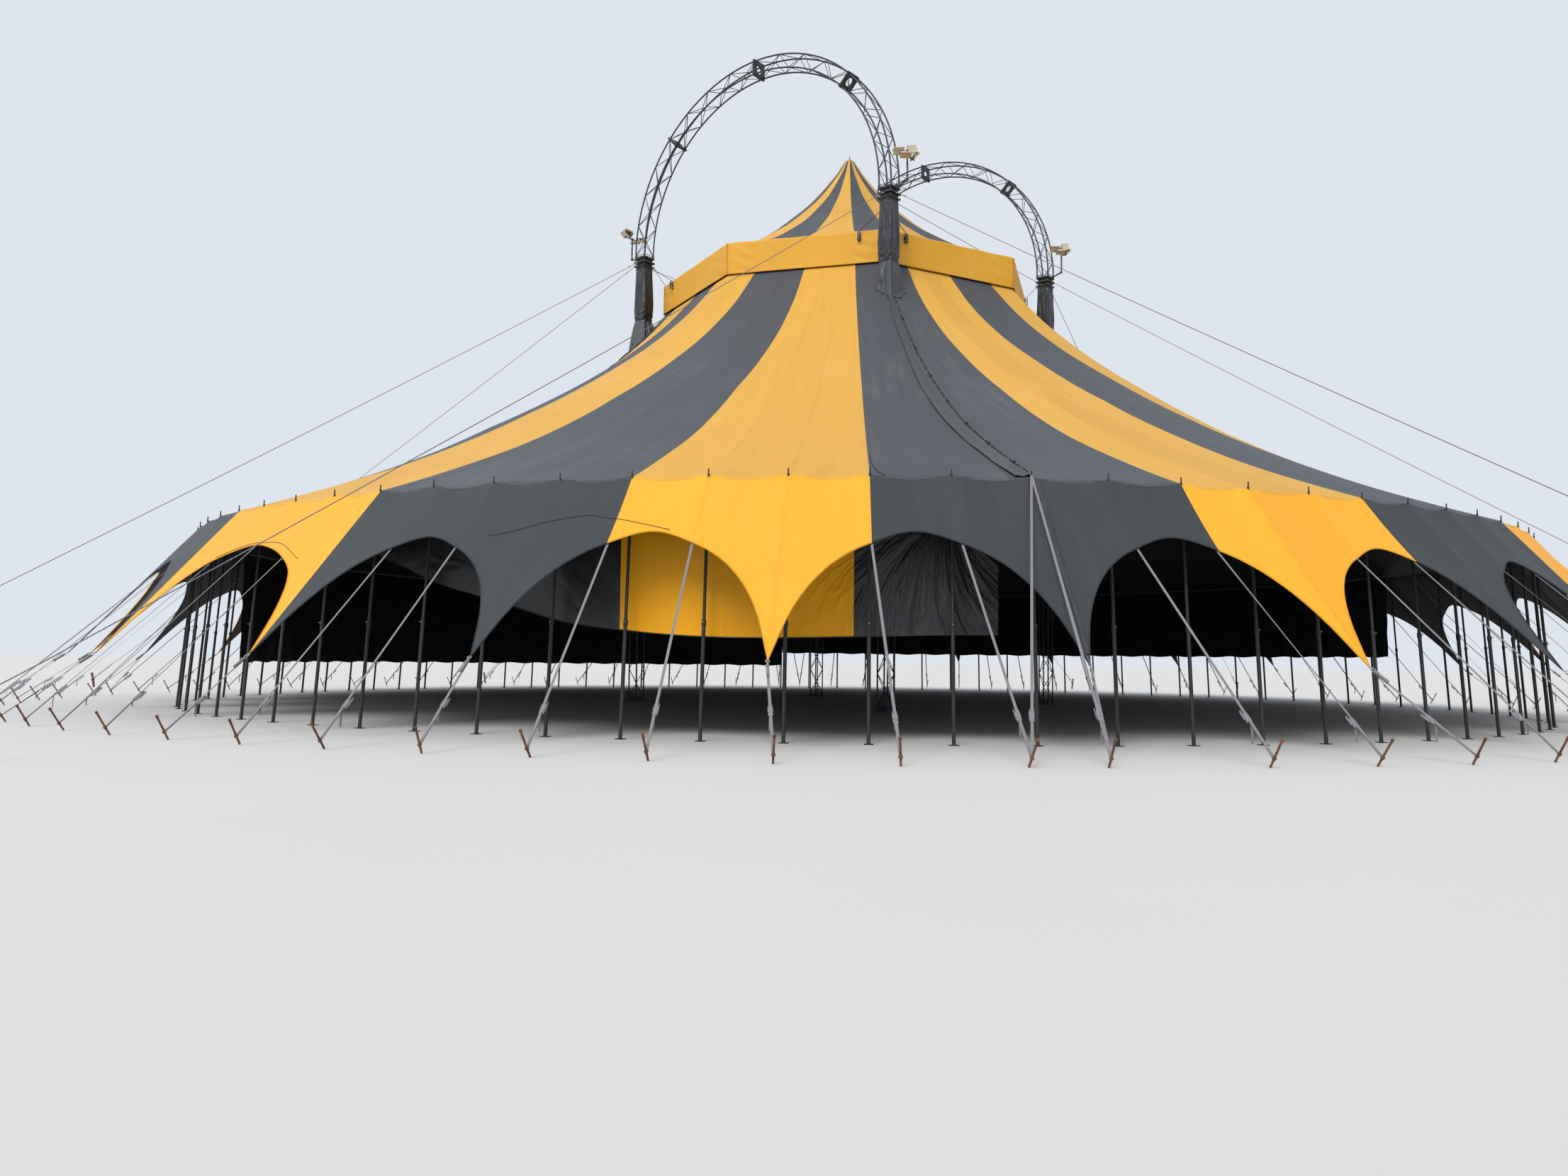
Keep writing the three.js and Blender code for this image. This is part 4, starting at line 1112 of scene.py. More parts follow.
class TENT_OT_masts(PieceOperator, bpy.types.Operator):
    """Four lattice masts: round chords, zigzag braces, joint frames and base plates"""
    bl_idname = "big_top.masts"
    bl_label = "Masts"

    def execute(self, context):
        rig = context.scene.big_top_rigging
        half, foot, top, bays = MAST_HALF * S, 0.02, MAST_TOP * S - 0.001, MAST_BAYS
        low, high = 0.05, top - 0.03
        joints = [low + (high - low) * k / 5 for k in range(6)]
        rod_mesh, marks = rod_pattern(), []
        for k in range(4):
            a, b = ((x * half, y * half) for x, y in (CORNERS[k], CORNERS[(k + 1) % 4]))
            for i in range(bays):
                z0, z1 = (low + (high - low) * j / bays for j in ((i + 1, i) if (i + k) % 2 else (i, i + 1)))
                marks.append(bar((*a, z0), (*b, z1), rig.brace))
            for z in joints:
                marks += [bar((*a, z + gap), (*b, z + gap), rig.brace) for gap in (-JOINT_GAP, JOINT_GAP)]
        for x, y in CORNERS:
            marks.append(bar((x * half, y * half, foot), (x * half, y * half, top), rig.chord * 0.93))
        parts = [copies("mast_rods", rod_mesh, marks)]
        # Sleeves of the section joints, then the base plate with its sockets and bolts
        for z in joints[1:-1]:
            parts += [upright(x * half, y * half, z - 0.011, z + 0.011, 0.019, 12, 0.002, "truss_paint")
                      for x, y in CORNERS]
        parts.append(block((-0.2, -0.2, 0), (0.2, 0.2, 0.019), 0.004, "truss_paint"))
        for x, y in CORNERS:
            parts.append(upright(x * half, y * half, 0.018, 0.06, 0.022, 12, 0.003, "truss_paint"))
            parts.append(upright(x * 0.17, y * 0.17, 0.018, 0.034, 0.012, 6, 0.002))
        at_masts("mast_frame", assemble("mast_pattern", parts), "truss_steel", "mast")
        return {"FINISHED"}


class TENT_OT_heads(PieceOperator, bpy.types.Operator):
    """Mast heads: clamp plates, corner lugs, ribs and bolts"""
    bl_idname = "big_top.heads"
    bl_label = "Mast heads"

    def execute(self, context):
        top, low = HEAD_TOP * S, MAST_TOP * S
        half = HEAD_HALF * S
        parts = [block((-half, -half, low), (half, half, low + 0.016), 0.003),
                 block((-0.104, -0.104, low + 0.014), (0.104, 0.104, top - 0.012), 0.004),
                 block((-half, -half, top - 0.020), (half, half, top), 0.004)]
        for x, y in CORNERS:
            parts += [upright(x * 0.09, y * 0.09, low + 0.010, top - 0.005, 0.019, 12, 0.003, "black_steel"),
                      upright(x * 0.108, y * 0.108, top - 0.026, top + 0.012, 0.007, 6, 0.002),
                      brick((x * 0.118, y * 0.129, low + 0.013), (0.011, 0.011, 0.017))]
        # Two ribs and a bolt on each side
        for k in range(4):
            a = math.pi / 2 * k
            way, out = Vector((-math.sin(a), math.cos(a), 0)), Vector((math.cos(a), math.sin(a), 0))
            rib = (0.010, 0.006) if k % 2 == 0 else (0.006, 0.010)
            for t in (-0.045, 0.045):
                x, y, _ = out * 0.100 + way * t
                parts.append(brick((x, y, (low + top) / 2 - 0.002), (*rib, (top - low) / 2 - 0.016)))
            bolt = out * (half + 0.0005)
            parts.append(drum((bolt.x * 0.9, bolt.y * 0.9, top - 0.010), (bolt.x, bolt.y, top - 0.010),
                              0.007, 6, 0.001))
        at_masts("mast_head_block", assemble("head_pattern", parts), "block_black", "mast_head")
        return {"FINISHED"}


class TENT_OT_sleeves(PieceOperator, bpy.types.Operator):
    """Shiny black sleeves round the masts, cinched low and flared over the roof"""
    bl_idname = "big_top.sleeves"
    bl_label = "Sleeves"

    def execute(self, context):
        for n, middle, az in mast_places():
            obj, cinch = self.sleeve(n, middle, az)
            fit(obj, "sleeve_black", f"mast_sleeve_{n}")
            fit(cinch, "sleeve_black")
            cut_area(obj)
        return {"FINISHED"}

    def sleeve(self, n, middle, mast_az):
        count = 156
        turn = np.arange(count) * 2 * math.pi / count
        upper, skirt = np.linspace(0, 1, 70), np.linspace(0, 1, 26)[1:]
        square = 1 / np.maximum(np.abs(np.cos(turn)), np.abs(np.sin(turn)))
        soft, seed, rows = np.minimum(square, 1.26), 1.7 * n, []

        def place(radius, least):
            radius = np.maximum(radius, least * np.minimum(square, 1.32))
            return middle[0] / S + radius * np.cos(turn), middle[1] / S + radius * np.sin(turn)

        for t in upper:
            half = np.interp(t, (0, 0.06, 0.32, 0.68, 0.88, 1), (0.231, 0.237, 0.256, 0.281, 0.272, 0.243))
            tight = np.clip((t - 0.76) / 0.24, 0, 1) ** 0.8
            folds = 0.006 * np.sin(5 * turn + 3.5 * t + seed) + 0.005 * np.sin(9 * turn - 5 * t + 2 * seed)
            crush = 0.013 * tight * np.sin(58 * t + 2.2 * np.sin(3 * turn + seed) + 2 * turn)
            pleats = 0.008 * np.clip(1 - 5 * t, 0, 1) * np.sin(22 * turn + seed)
            pleats = pleats + 0.008 * tight**3 * np.sin(19 * turn + seed)
            # One long fold that winds down round the sleeve, and two shorter ones
            wind = 0.0
            for at, slope, low, high, depth in ((5.1, -1.5, 0.02, 0.85, 0.020), (2.4, 1.2, 0.05, 0.7, 0.014),
                                                (0.6, -0.8, 0.3, 0.9, 0.012)):
                off = (turn - at - seed * 0.1 - slope * t + math.pi) % (2 * math.pi) - math.pi
                strength = np.clip((t - low) / 0.1, 0, 1) * np.clip((high - t) / 0.1, 0, 1)
                shape = np.exp(-(off / 0.11) ** 2) - 0.7 * np.exp(-((off + 0.2) / 0.13) ** 2)
                wind = wind + depth * strength * shape
            x, y = place(half * soft + folds * np.clip(4 * t, 0.1, 1) + crush + pleats + wind, 0.226)
            rows.append((x, y, np.full(count, SLEEVE_TOP + (CINCH - SLEEVE_TOP) * t)))
        # The skirt fans out over the roof cloth in deep gathers, further downhill than to the sides
        downhill = np.cos(turn - math.atan2(-math.cos(mast_az), math.sin(mast_az)))
        gather = np.sin(10 * turn + 1.3 * np.sin(2 * turn + seed) + seed)
        small = np.sin(21 * turn + 2 * seed)
        # A flap of it stands open on one side, near the cinch
        flap = np.exp(-(((turn - mast_az - 2.2 * math.pi) % (2 * math.pi) - math.pi) / 0.22) ** 2)
        end = 0.43 + 0.07 * downhill + 0.06 * np.cos(turn - mast_az) + 0.03 * np.sin(3 * turn + seed)
        for t in skirt:
            reach = 0.245 + (end - 0.245) * t**0.9
            radius = reach * (soft * (1 - 0.5 * t) + 0.5 * t * 1.08)
            radius = radius + (0.028 * gather + 0.012 * small) * (0.4 + t) * 0.8
            x, y = place(radius + 0.11 * flap * np.sin(math.pi * min(1, 1.9 * t)), 0.228)
            floor_z = self.roof_height(x, y)
            deep = np.sin(math.pi * min(1, t * 1.15 + 0.1))
            rise = floor_z + 0.035 + (0.06 * deep * (1 + gather) + 0.010 * (1 + small)) * (1 - t)
            start = CINCH - 0.02 * t
            z = start + (rise - start) * np.clip(t * 1.5, 0, 1) ** 0.9
            rows.append((x, y, np.maximum(z, floor_z + 0.030 + 0.025 * (1 + gather) * (1 - 0.5 * t))))
        points = np.array(rows).transpose(0, 2, 1) * S
        v = np.concatenate((upper * 2, 2 + skirt * 0.6))
        obj = cloth(f"sleeve_cloth_{n}", points, 0.0022, (np.arange(count + 1) / 12, v),
                    ("sleeve_gloss", "fold_dark", "canvas_inside"), wrap=True)
        looks = np.empty(len(obj.data.polygons), int)
        obj.data.polygons.foreach_get("material_index", looks)
        looks[(len(upper) - 1) * count:(len(rows) - 1) * count] = 1
        obj.data.polygons.foreach_set("material_index", looks)
        # A turn of strap at the cinch, and one under the head
        runs = []
        for z, width in ((14.225, 0.010), (16.19, 0.012)):
            row = points[round((SLEEVE_TOP - z) / (SLEEVE_TOP - CINCH) * (len(upper) - 1))]
            row = row + (row - np.array((middle[0], middle[1], z * S))) * 0.02
            row[:, 2] = z * S + 0.004 * np.sin(2 * turn + n)
            runs.append((np.concatenate((row, row[:1])), flat_profile(width, 0.004), ROPE_TURN))
        return obj, sweep(f"sleeve_straps_{n}", runs, "webbing_black")

    def roof_height(self, x, y):
        """Height of the roof cloth over places on the floor, by halving"""
        rho, az = np.hypot(x, y), np.arctan2(x, -y)
        low, high = np.full_like(x, CROWN_R), np.full_like(x, EAVE_R)
        for _ in range(30):
            r = (low + high) / 2
            inside = r * rounded(az, (r - CROWN_R) / 7) < rho
            low, high = np.where(inside, r, low), np.where(inside, high, r)
        return roof_z(low)


class TENT_OT_arches(PieceOperator, bpy.types.Operator):
    """Two lattice arches over the crown, with joint plates and feet"""
    bl_idname = "big_top.arches"
    bl_label = "Arches"

    def execute(self, context):
        rig = context.scene.big_top_rigging
        parts = [self.chords(rig.chord), self.braces(rig), *self.plates()]
        pattern = assemble("arch_pattern", parts)
        for k, (name, y) in enumerate((("front", -MAST_XY), ("back", MAST_XY))):
            obj = copies(f"arch_truss_{name}", pattern, [Matrix.Translation((0, y * S, 0))], done=k == 1)
            fit(obj, "truss_steel", f"arch_{name}")
        return {"FINISHED"}

    def chords(self, radius):
        """Four round chords, extruded up from the feet, spun over the crown and extruded down"""
        bpy.ops.object.select_all(action="DESELECT")
        foot, spring = HEAD_TOP * S + 0.015, ARCH_SPRING * S
        for k, (d, y) in enumerate(((-1, -1), (-1, 1), (1, -1), (1, 1))):
            where = ((MAST_XY + d * TRUSS) * S, y * TRUSS * S, foot)
            bpy.ops.mesh.primitive_circle_add(vertices=12, radius=radius, location=where)
            if k == 0:
                obj = settle()
                bpy.ops.object.mode_set(mode="EDIT")
                bpy.ops.mesh.select_mode(type="VERT")
        bpy.ops.mesh.select_all(action="SELECT")
        bpy.ops.mesh.extrude_region_move(TRANSFORM_OT_translate={"value": (0, 0, spring - foot)})
        bpy.ops.mesh.spin(steps=72, angle=math.pi, center=(0, 0, spring), axis=(0, 1, 0))
        bpy.ops.mesh.extrude_region_move(TRANSFORM_OT_translate={"value": (0, 0, foot - spring)})
        bpy.ops.mesh.select_all(action="SELECT")
        bpy.ops.mesh.remove_doubles(threshold=0.0001)
        bpy.ops.mesh.normals_make_consistent(inside=False)
        bpy.ops.object.mode_set(mode="OBJECT")
        return dress(obj, "truss_paint")

    def braces(self, rig):
        bays = int(round(math.pi * MAST_XY * S / rig.bay / 4)) * 4

        def node(i, corner):
            """Node i along the round part of a chord"""
            t, r = math.pi * i / bays, MAST_XY + corner[0] * TRUSS
            return (r * math.cos(t) * S, corner[1] * TRUSS * S, (ARCH_SPRING + r * math.sin(t)) * S)

        rod_mesh, marks = rod_pattern(), []
        sides = [(CORNERS[k], CORNERS[(k + 1) % 4]) for k in range(4)]
        for k, (a, b) in enumerate(sides):
            for i in range(bays):
                p, q = (a, b) if (i + k) % 2 else (b, a)
                marks.append(bar(node(i, p), node(i + 1, q), rig.brace))
        for i in range(0, bays + 1, bays // 4):
            marks += [bar(node(i, a), node(i, b), rig.brace) for a, b in sides]
        return copies("arch_rods", rod_mesh, marks)

    def plates(self):
        parts = [self.joint(deg, shift) for deg in JOINT_AZ for shift in (-0.010, 0.010)]
        for s in (-1, 1):
            x, z, half, paint = s * MAST_XY * S, HEAD_TOP * S, HEAD_HALF * S, "truss_paint"
            parts.append(block((x - half, -half, z + 0.0006), (x + half, half, z + 0.018), 0.003, paint))
            for cx, cy in CORNERS:
                px, py = x + cx * TRUSS * S, cy * TRUSS * S
                parts.append(upright(px, py, z + 0.016, z + 0.05, 0.0175, 12, 0.002, paint))
                parts.append(crosswise((px, py, z + 0.034), (1, 0, 0), 0.023, 0.006, 8, 0.001))
        return parts

    def joint(self, deg, shift):
        """Square flange with a round hole and bolts at its corners, square to the arch"""
        bpy.ops.object.select_all(action="DESELECT")
        bpy.ops.mesh.primitive_circle_add(vertices=24, radius=JOINT_HOLE, location=(0, 0, -PLATE / 2))
        obj = settle()
        bpy.ops.object.mode_set(mode="EDIT")
        bpy.ops.mesh.select_mode(type="VERT")
        bpy.ops.mesh.select_all(action="SELECT")
        # The rim of the hole is drawn out to a square and then thickened
        bpy.ops.mesh.extrude_edges_move(TRANSFORM_OT_translate={"value": (0, 0, 0)})
        shape = bmesh.from_edit_mesh(obj.data)
        for v in [v for v in shape.verts if v.select]:
            v.co.xy *= JOINT_HALF / max(abs(v.co.x), abs(v.co.y))
        bmesh.update_edit_mesh(obj.data)
        bpy.ops.mesh.select_all(action="SELECT")
        bpy.ops.mesh.extrude_region_move(TRANSFORM_OT_translate={"value": (0, 0, PLATE)})
        bpy.ops.mesh.select_all(action="SELECT")
        bpy.ops.mesh.normals_make_consistent(inside=False)
        bpy.ops.object.mode_set(mode="OBJECT")
        bits = [dress(obj, "black_steel")]
        for x, y in CORNERS:
            for share in (0.82, 0.60):
                bx, by = x * JOINT_HALF * share, y * JOINT_HALF * 0.82
                bits.append(upright(bx, by, -0.016, 0.016, 0.0075, 6, 0.001))
        obj = assemble("joint", bits)
        t = math.radians(deg)
        place = Matrix.Translation((MAST_XY * math.cos(t) * S, 0, (ARCH_SPRING + MAST_XY * math.sin(t)) * S))
        obj.data.transform(place @ Matrix.Rotation(-t, 4, "Y") @ Matrix.Translation((0, 0, shift)))
        return obj


class TENT_OT_side_poles(PieceOperator, bpy.types.Operator):
    """Side poles with pins, collars and feet, and the eave rope"""
    bl_idname = "big_top.side_poles"
    bl_label = "Side poles"

    def execute(self, context):
        rig = context.scene.big_top_rigging
        foot, top = Vector(polar(POLE_FOOT, 0, 0)), Vector(polar(EAVE_R, 0, POLE_TOP))
        at = lambda k: foot + (top - foot) * k
        pole, paint = rig.pole, "side_pole_paint"
        parts = [drum(foot + Vector((0, 0, 0.004)), at(0.46), pole, 16, 0.002, paint),
                 drum(at(0.44), at(0.995), pole * 0.84, 16, 0.002, paint),
                 drum(at(0.44), at(0.462), pole * 1.22, 16, 0.002, paint),
                 drum(at(0.90), at(0.912), pole * 1.05, 12, 0.001, paint),
                 drum(at(0.985), at(1.0), pole * 1.05, 16, 0.002, paint),
                 drum(at(0.99), polar(EAVE_R, 0, PIN_TOP), 0.0075, 10, 0.001, "black_steel"),
                 drum(polar(EAVE_R, 0, 5.145), polar(EAVE_R, 0, 5.165), 0.012, 10, 0.001, "black_steel"),
                 brick((foot.x, foot.y, 0.0035), (0.045, 0.045, 0.0035), 0.002, paint),
                 drum(at(0.452), at(0.452) + Vector((0, -0.045, 0.004)), 0.005, 8, 0.001)]
        pattern = assemble("pole_pattern", parts)
        for q, side in enumerate(SIDES):
            turns = [Matrix.Rotation(float(pin_az(q, u)), 4, "Z") for u in range(SPANS)]
            obj = copies(f"side_poles_{side}", pattern, turns, done=q == 3)
            fit(obj, "pole_steel", f"side_poles_{q + 1}")
            u = np.arange(SPANS * 4 + 1) / 4
            path = polar(EAVE_ROPE_R * straight(u), pin_az(q, u), EAVE_ROPE_Z - 0.030 * between(u))
            fit(sweep(f"eave_rope_{side}", [rod(path, 0.007)], "rope_black"), "pole_steel")
        return {"FINISHED"}


class TENT_OT_straps(PieceOperator, bpy.types.Operator):
    """Webbing straps with ratchets, tip shackles and rusty ground stakes"""
    bl_idname = "big_top.straps"
    bl_label = "Straps and stakes"

    def execute(self, context):
        rig = context.scene.big_top_rigging
        stake, ratchet, shackle = self.stake(), self.ratchet(rig.strap), self.shackle()
        for q, side in enumerate(SIDES):
            runs, ratchets, shackles = [], [], []
            for u in range(SPANS):
                path = self.path(q, u)
                runs += self.bands(q, u, path, rig.strap)
                ratchets.append(self.buckle(path, self.across(q, u), hash01(q, u)))
                if u in TIPS:
                    hem = float(hem_radius(u))
                    tip = Vector(polar(hem + 0.01, pin_az(q, u), float(awning_z(hem)) + 0.01))
                    down = (Vector(path[-1]) - tip).to_track_quat("-Z", "Y")
                    shackles.append(Matrix.Translation(tip) @ down.to_matrix().to_4x4())
            # At the mast seam one more strap crosses over to the last stake of the quarter before,
            # and the tip has its own short tie
            over = self.cross(self.hold(q, 0, EAVE_R, SEAM_HOLD), self.collar((q - 1) % 4, SPANS - 1))
            over[:, 2] += np.linspace(0, 0.02, len(over))
            ratchets.append(self.buckle(over, self.across(q, 0), hash01(q, 40)))
            hem = float(hem_radius(0))
            tie = self.cross(self.hold(q, 0, hem + 0.03, awning_z(hem) - 0.05), self.collar(q, 0))
            runs += [(over, flat_profile(rig.strap), self.across(q, 0)),
                     (tie, flat_profile(rig.strap * 0.9), self.across(q, 0))]
            fit(sweep(f"straps_{side}", runs, "webbing_grey"), "cable")
            last = q == 3
            fit(copies(f"ratchets_{side}", ratchet, ratchets, done=last), "truss_steel")
            fit(copies(f"tip_shackles_{side}", shackle, shackles, done=last), "truss_steel")
            leans = [self.lean(q, u) for u in range(SPANS)]
            fit(copies(f"stakes_{side}", stake, leans, done=last), "pole_steel")
        return {"FINISHED"}

    def lean(self, q, u):
        """Place of a stake, tipped a little to one side about its foot"""
        foot = Vector(polar(STAKE_FOOT, 0, 0))
        tip = Matrix.Rotation(0.34 * (hash01(q, u, 11) - 0.5), 4, "Y")
        turn = Matrix.Rotation(float(stake_az(q, u)), 4, "Z")
        return turn @ Matrix.Translation(foot) @ tip @ Matrix.Translation(-foot)

    def collar(self, q, u):
        """Where a strap holds on its stake"""
        return np.array(self.lean(q, u) @ Vector(polar(STRAP_END[0], 0, STRAP_END[1])))

    def hold(self, q, u, r, z):
        return polar(float(r), pin_az(q, u), float(z))

    def across(self, q, u):
        return eave_way(float(pin_az(q, u)))

    def cross(self, start, end):
        """Straight run of the webbing, closer points near the stake"""
        return start + (end - start) * np.array((0, 0.12, 0.3, 0.5, 0.65, 0.78, 0.88, 1))[:, None]

    def path(self, q, u):
        """Points of the strap from the eave, or from a tip, to the stake"""
        hem = float(hem_radius(u))
        if u == 0:
            return self.cross(self.hold(q, u, EAVE_R, SEAM_HOLD), self.collar(q, u))
        if u in TIPS:
            return self.cross(self.hold(q, u, hem + 0.03, awning_z(hem) - 0.04), self.collar(q, u))
        under = self.hold(q, u, hem, awning_z(hem) - 0.055)
        return np.concatenate(([self.hold(q, u, EAVE_R, 4.93)], self.cross(under, self.collar(q, u))))

    def buckle(self, path, across, chance):
        """Place of the ratchet on a strap"""
        last = Vector(path[-1])
        back = (Vector(path[-6]) - last).normalized()
        middle = last + back * ((0.36 + 0.06 * (chance - 0.5) - last.z) / back.z)
        across = Vector(across)
        across = (across - across.dot(back) * back).normalized()
        return axes(across, back.cross(across), back, middle)

    def bands(self, q, u, path, width):
        """The strap itself, a second layer below the ratchet and a loose tail"""
        az = float(pin_az(q, u))
        side = self.across(q, u)
        out = np.array((math.sin(az), -math.cos(az), 0))
        dense = np.array([path[0]] + [a + (b - a) * k for a, b in zip(path, path[1:])
                                      for k in (0.25, 0.5, 0.75, 1)])
        twist = (hash01(q, u, 3) - 0.5) * 1.3 if hash01(q, u, 5) > 0.35 else 0.12
        tilt = (twist * np.sin(math.pi * np.linspace(0, 1, len(dense))) ** 2)[:, None]
        bands = [(dense, flat_profile(width), side * np.cos(tilt) + out * np.sin(tilt))]
        low = path[-6:]
        back = (low[0] - low[-1]) / np.linalg.norm(low[0] - low[-1])
        grip = low[-1] + back * ((0.34 - low[-1][2]) / back[2])
        shift = 0.006 * np.cross(back, side)
        bands.append((np.array([grip, (grip + low[-1]) / 2, low[-1]]) + shift, flat_profile(width), side))
        # Loose tail of webbing that hangs from the ratchet
        length = 0.06 + 0.12 * hash01(q, u, 7)
        tail = [grip + out * (0.012 + 0.012 * math.sin(k * 2.2)) - np.array((0, 0, length * k))
                for k in np.linspace(0, 1, 7)]
        bands.append((np.array(tail), flat_profile(width * 0.96, 0.0026), side))
        return bands

    def ratchet(self, width):
        """Ratchet buckle round the origin, its strap along Z"""
        w, parts = width / 2 + 0.003, []
        for s in (-1, 1):
            parts.append(brick((s * w, 0.009, 0), (0.0012, 0.013, 0.045), 0.0, "zinc"))
            parts.append(brick((s * (w + 0.003), 0.020, 0.040), (0.001, 0.010, 0.045), 0.0, "zinc"))
        for z, radius in ((-0.034, 0.005), (0.010, 0.0075), (0.036, 0.005)):
            parts.append(crosswise((0, 0.009, z), (1, 0, 0), w + 0.006, radius, 8))
        parts.append(crosswise((0, 0.024, 0.080), (1, 0, 0), w + 0.003, 0.006, 8, 0, "black_steel"))
        return assemble("ratchet_pattern", parts)

    def shackle(self):
        """Ring and shackle at a tip of the awning, hanging along -Z"""
        parts = [ring((0, 0, 0), (0, 1, 0), 0.017, 0.004, "zinc", 14, 6),
                 ring((0, 0, -0.030), (1, 0, 0), 0.015, 0.004, "zinc", 14, 6),
                 drum((-0.014, 0, -0.046), (0.014, 0, -0.046), 0.0045, 8, 0.001, "zinc"),
                 drum((0, 0, -0.045), (0.004, 0.003, -0.20), 0.012, 10, 0.004, "webbing_grey"),
                 drum((0.003, 0.002, -0.07), (0.003, 0.002, -0.085), 0.015, 10, 0.003, "webbing_grey"),
                 drum((0.004, 0.003, -0.17), (0.004, 0.003, -0.185), 0.0145, 10, 0.003, "webbing_grey")]
        return assemble("shackle_pattern", parts)

    def stake(self):
        """Iron stake at azimuth 0 that leans outwards, with a collar for the strap"""
        foot, top = Vector(polar(STAKE_FOOT, 0, 0)), Vector(polar(STAKE_TOP[0], 0, STAKE_TOP[1]))
        iron = "rust_iron"
        at = lambda k: foot + (top - foot) * k
        parts = [drum(foot + Vector((0, 0, 0.005)), at(0.97), 0.0095, 10, 0.002, iron),
                 drum(at(0.93), at(1.0), 0.0135, 10, 0.004, iron),
                 drum(at(0.28), at(0.38), 0.0135, 10, 0.003, iron),
                 ring(at(0.33), top - foot, 0.0155, 0.004, iron, 12, 6)]
        return assemble("stake_pattern", parts)


class TENT_OT_curtains(PieceOperator, bpy.types.Operator):
    """Hanging side curtains with their swags and creases"""
    bl_idname = "big_top.curtains"
    bl_label = "Side curtains"

    def execute(self, context):
        for name, q, first, last, low in CURTAINS:
            front = name == "front"
            u = np.linspace(first + 0.003, last - 0.003, round((last - first) * (40 if front else 24)) + 1)
            ss, uu = grid(np.linspace(0, 1, 61), u)
            drum = between(uu)
            bottom = smooth(low)(uu) if front else np.interp(uu, *zip(*low)) - 0.05 * drum
            top = float(roof_z(CURTAIN_R)) - 0.05 - 0.03 * drum
            z = top + (bottom - top) * ss
            fold = self.folds(name, q, uu, ss, z, top - z)
            r = CURTAIN_R * straight(uu) + np.clip(fold, -0.055, 0.055) - 0.02 * drum * ss
            points = polar(r, pin_az(q, uu), z)
            part = stripe_part((u[:-1] + u[1:]) / 2 + 0.17) if front else np.ones(len(u) - 1, int)
            dark = "curtain_dark" if front else "curtain_far"
            obj = cloth(f"side_curtain_cloth_{name}", points, 0.0025, (u, z),
                        ("curtain_yellow", dark, "curtain_far"), part)
            fit(obj, "canvas_dark", f"side_curtain_{name}")
            path = points[-1] + np.array((0, 0, -0.002))
            hem = fit(sweep(f"side_curtain_hem_{name}", [rod(path, 0.006, 6)], "rope_black"), "canvas_dark")
            width = round((last - first) * 0.785 + 0.1, 2)
            tall = round((5.15 - min(z for _, z in low)) * S + 0.1, 2)
            min(cut_area(obj), width * tall)
        return {"FINISHED"}

    def folds(self, name, q, u, s, z, drop):
        """How far the curtain stands out: drapes at the back, and a fan of creases at the front"""
        if name != "front":
            fold = 0.013 * np.sin(2 * math.pi * (0.9 * z + 0.35 * u) + 1.2 * np.sin(1.7 * u + q))
            fold += 0.005 * np.sin(2 * math.pi * (2.0 * u + 0.3 * drop)) * (1 - s) ** 2
            wide = 0.030 * np.sin(2 * math.pi * (u + 0.05 * drop)) * s
            return fold * np.sin(math.pi * s) ** 0.5 + wide
        side, down = SPAN * (u - CURTAIN_HELD[0]), CURTAIN_HELD[1] - z
        angle, away = np.arctan2(side, down), np.hypot(side, down)
        fan = 0.014 * np.sin(23 * angle + 3.0 * z + 1.5 * np.sin(5 * angle))
        fan += 0.006 * np.sin(41 * angle + 5.2 * z + 2 * np.sin(7 * angle))
        fan *= np.clip(away / 1.3, 0, 1) * np.sin(math.pi * s) ** 0.4
        return fan + 0.016 * np.exp(-((u - 21.5) / 0.1) ** 2) - 0.045 * np.exp(-((u - 21.25) / 0.09) ** 2)


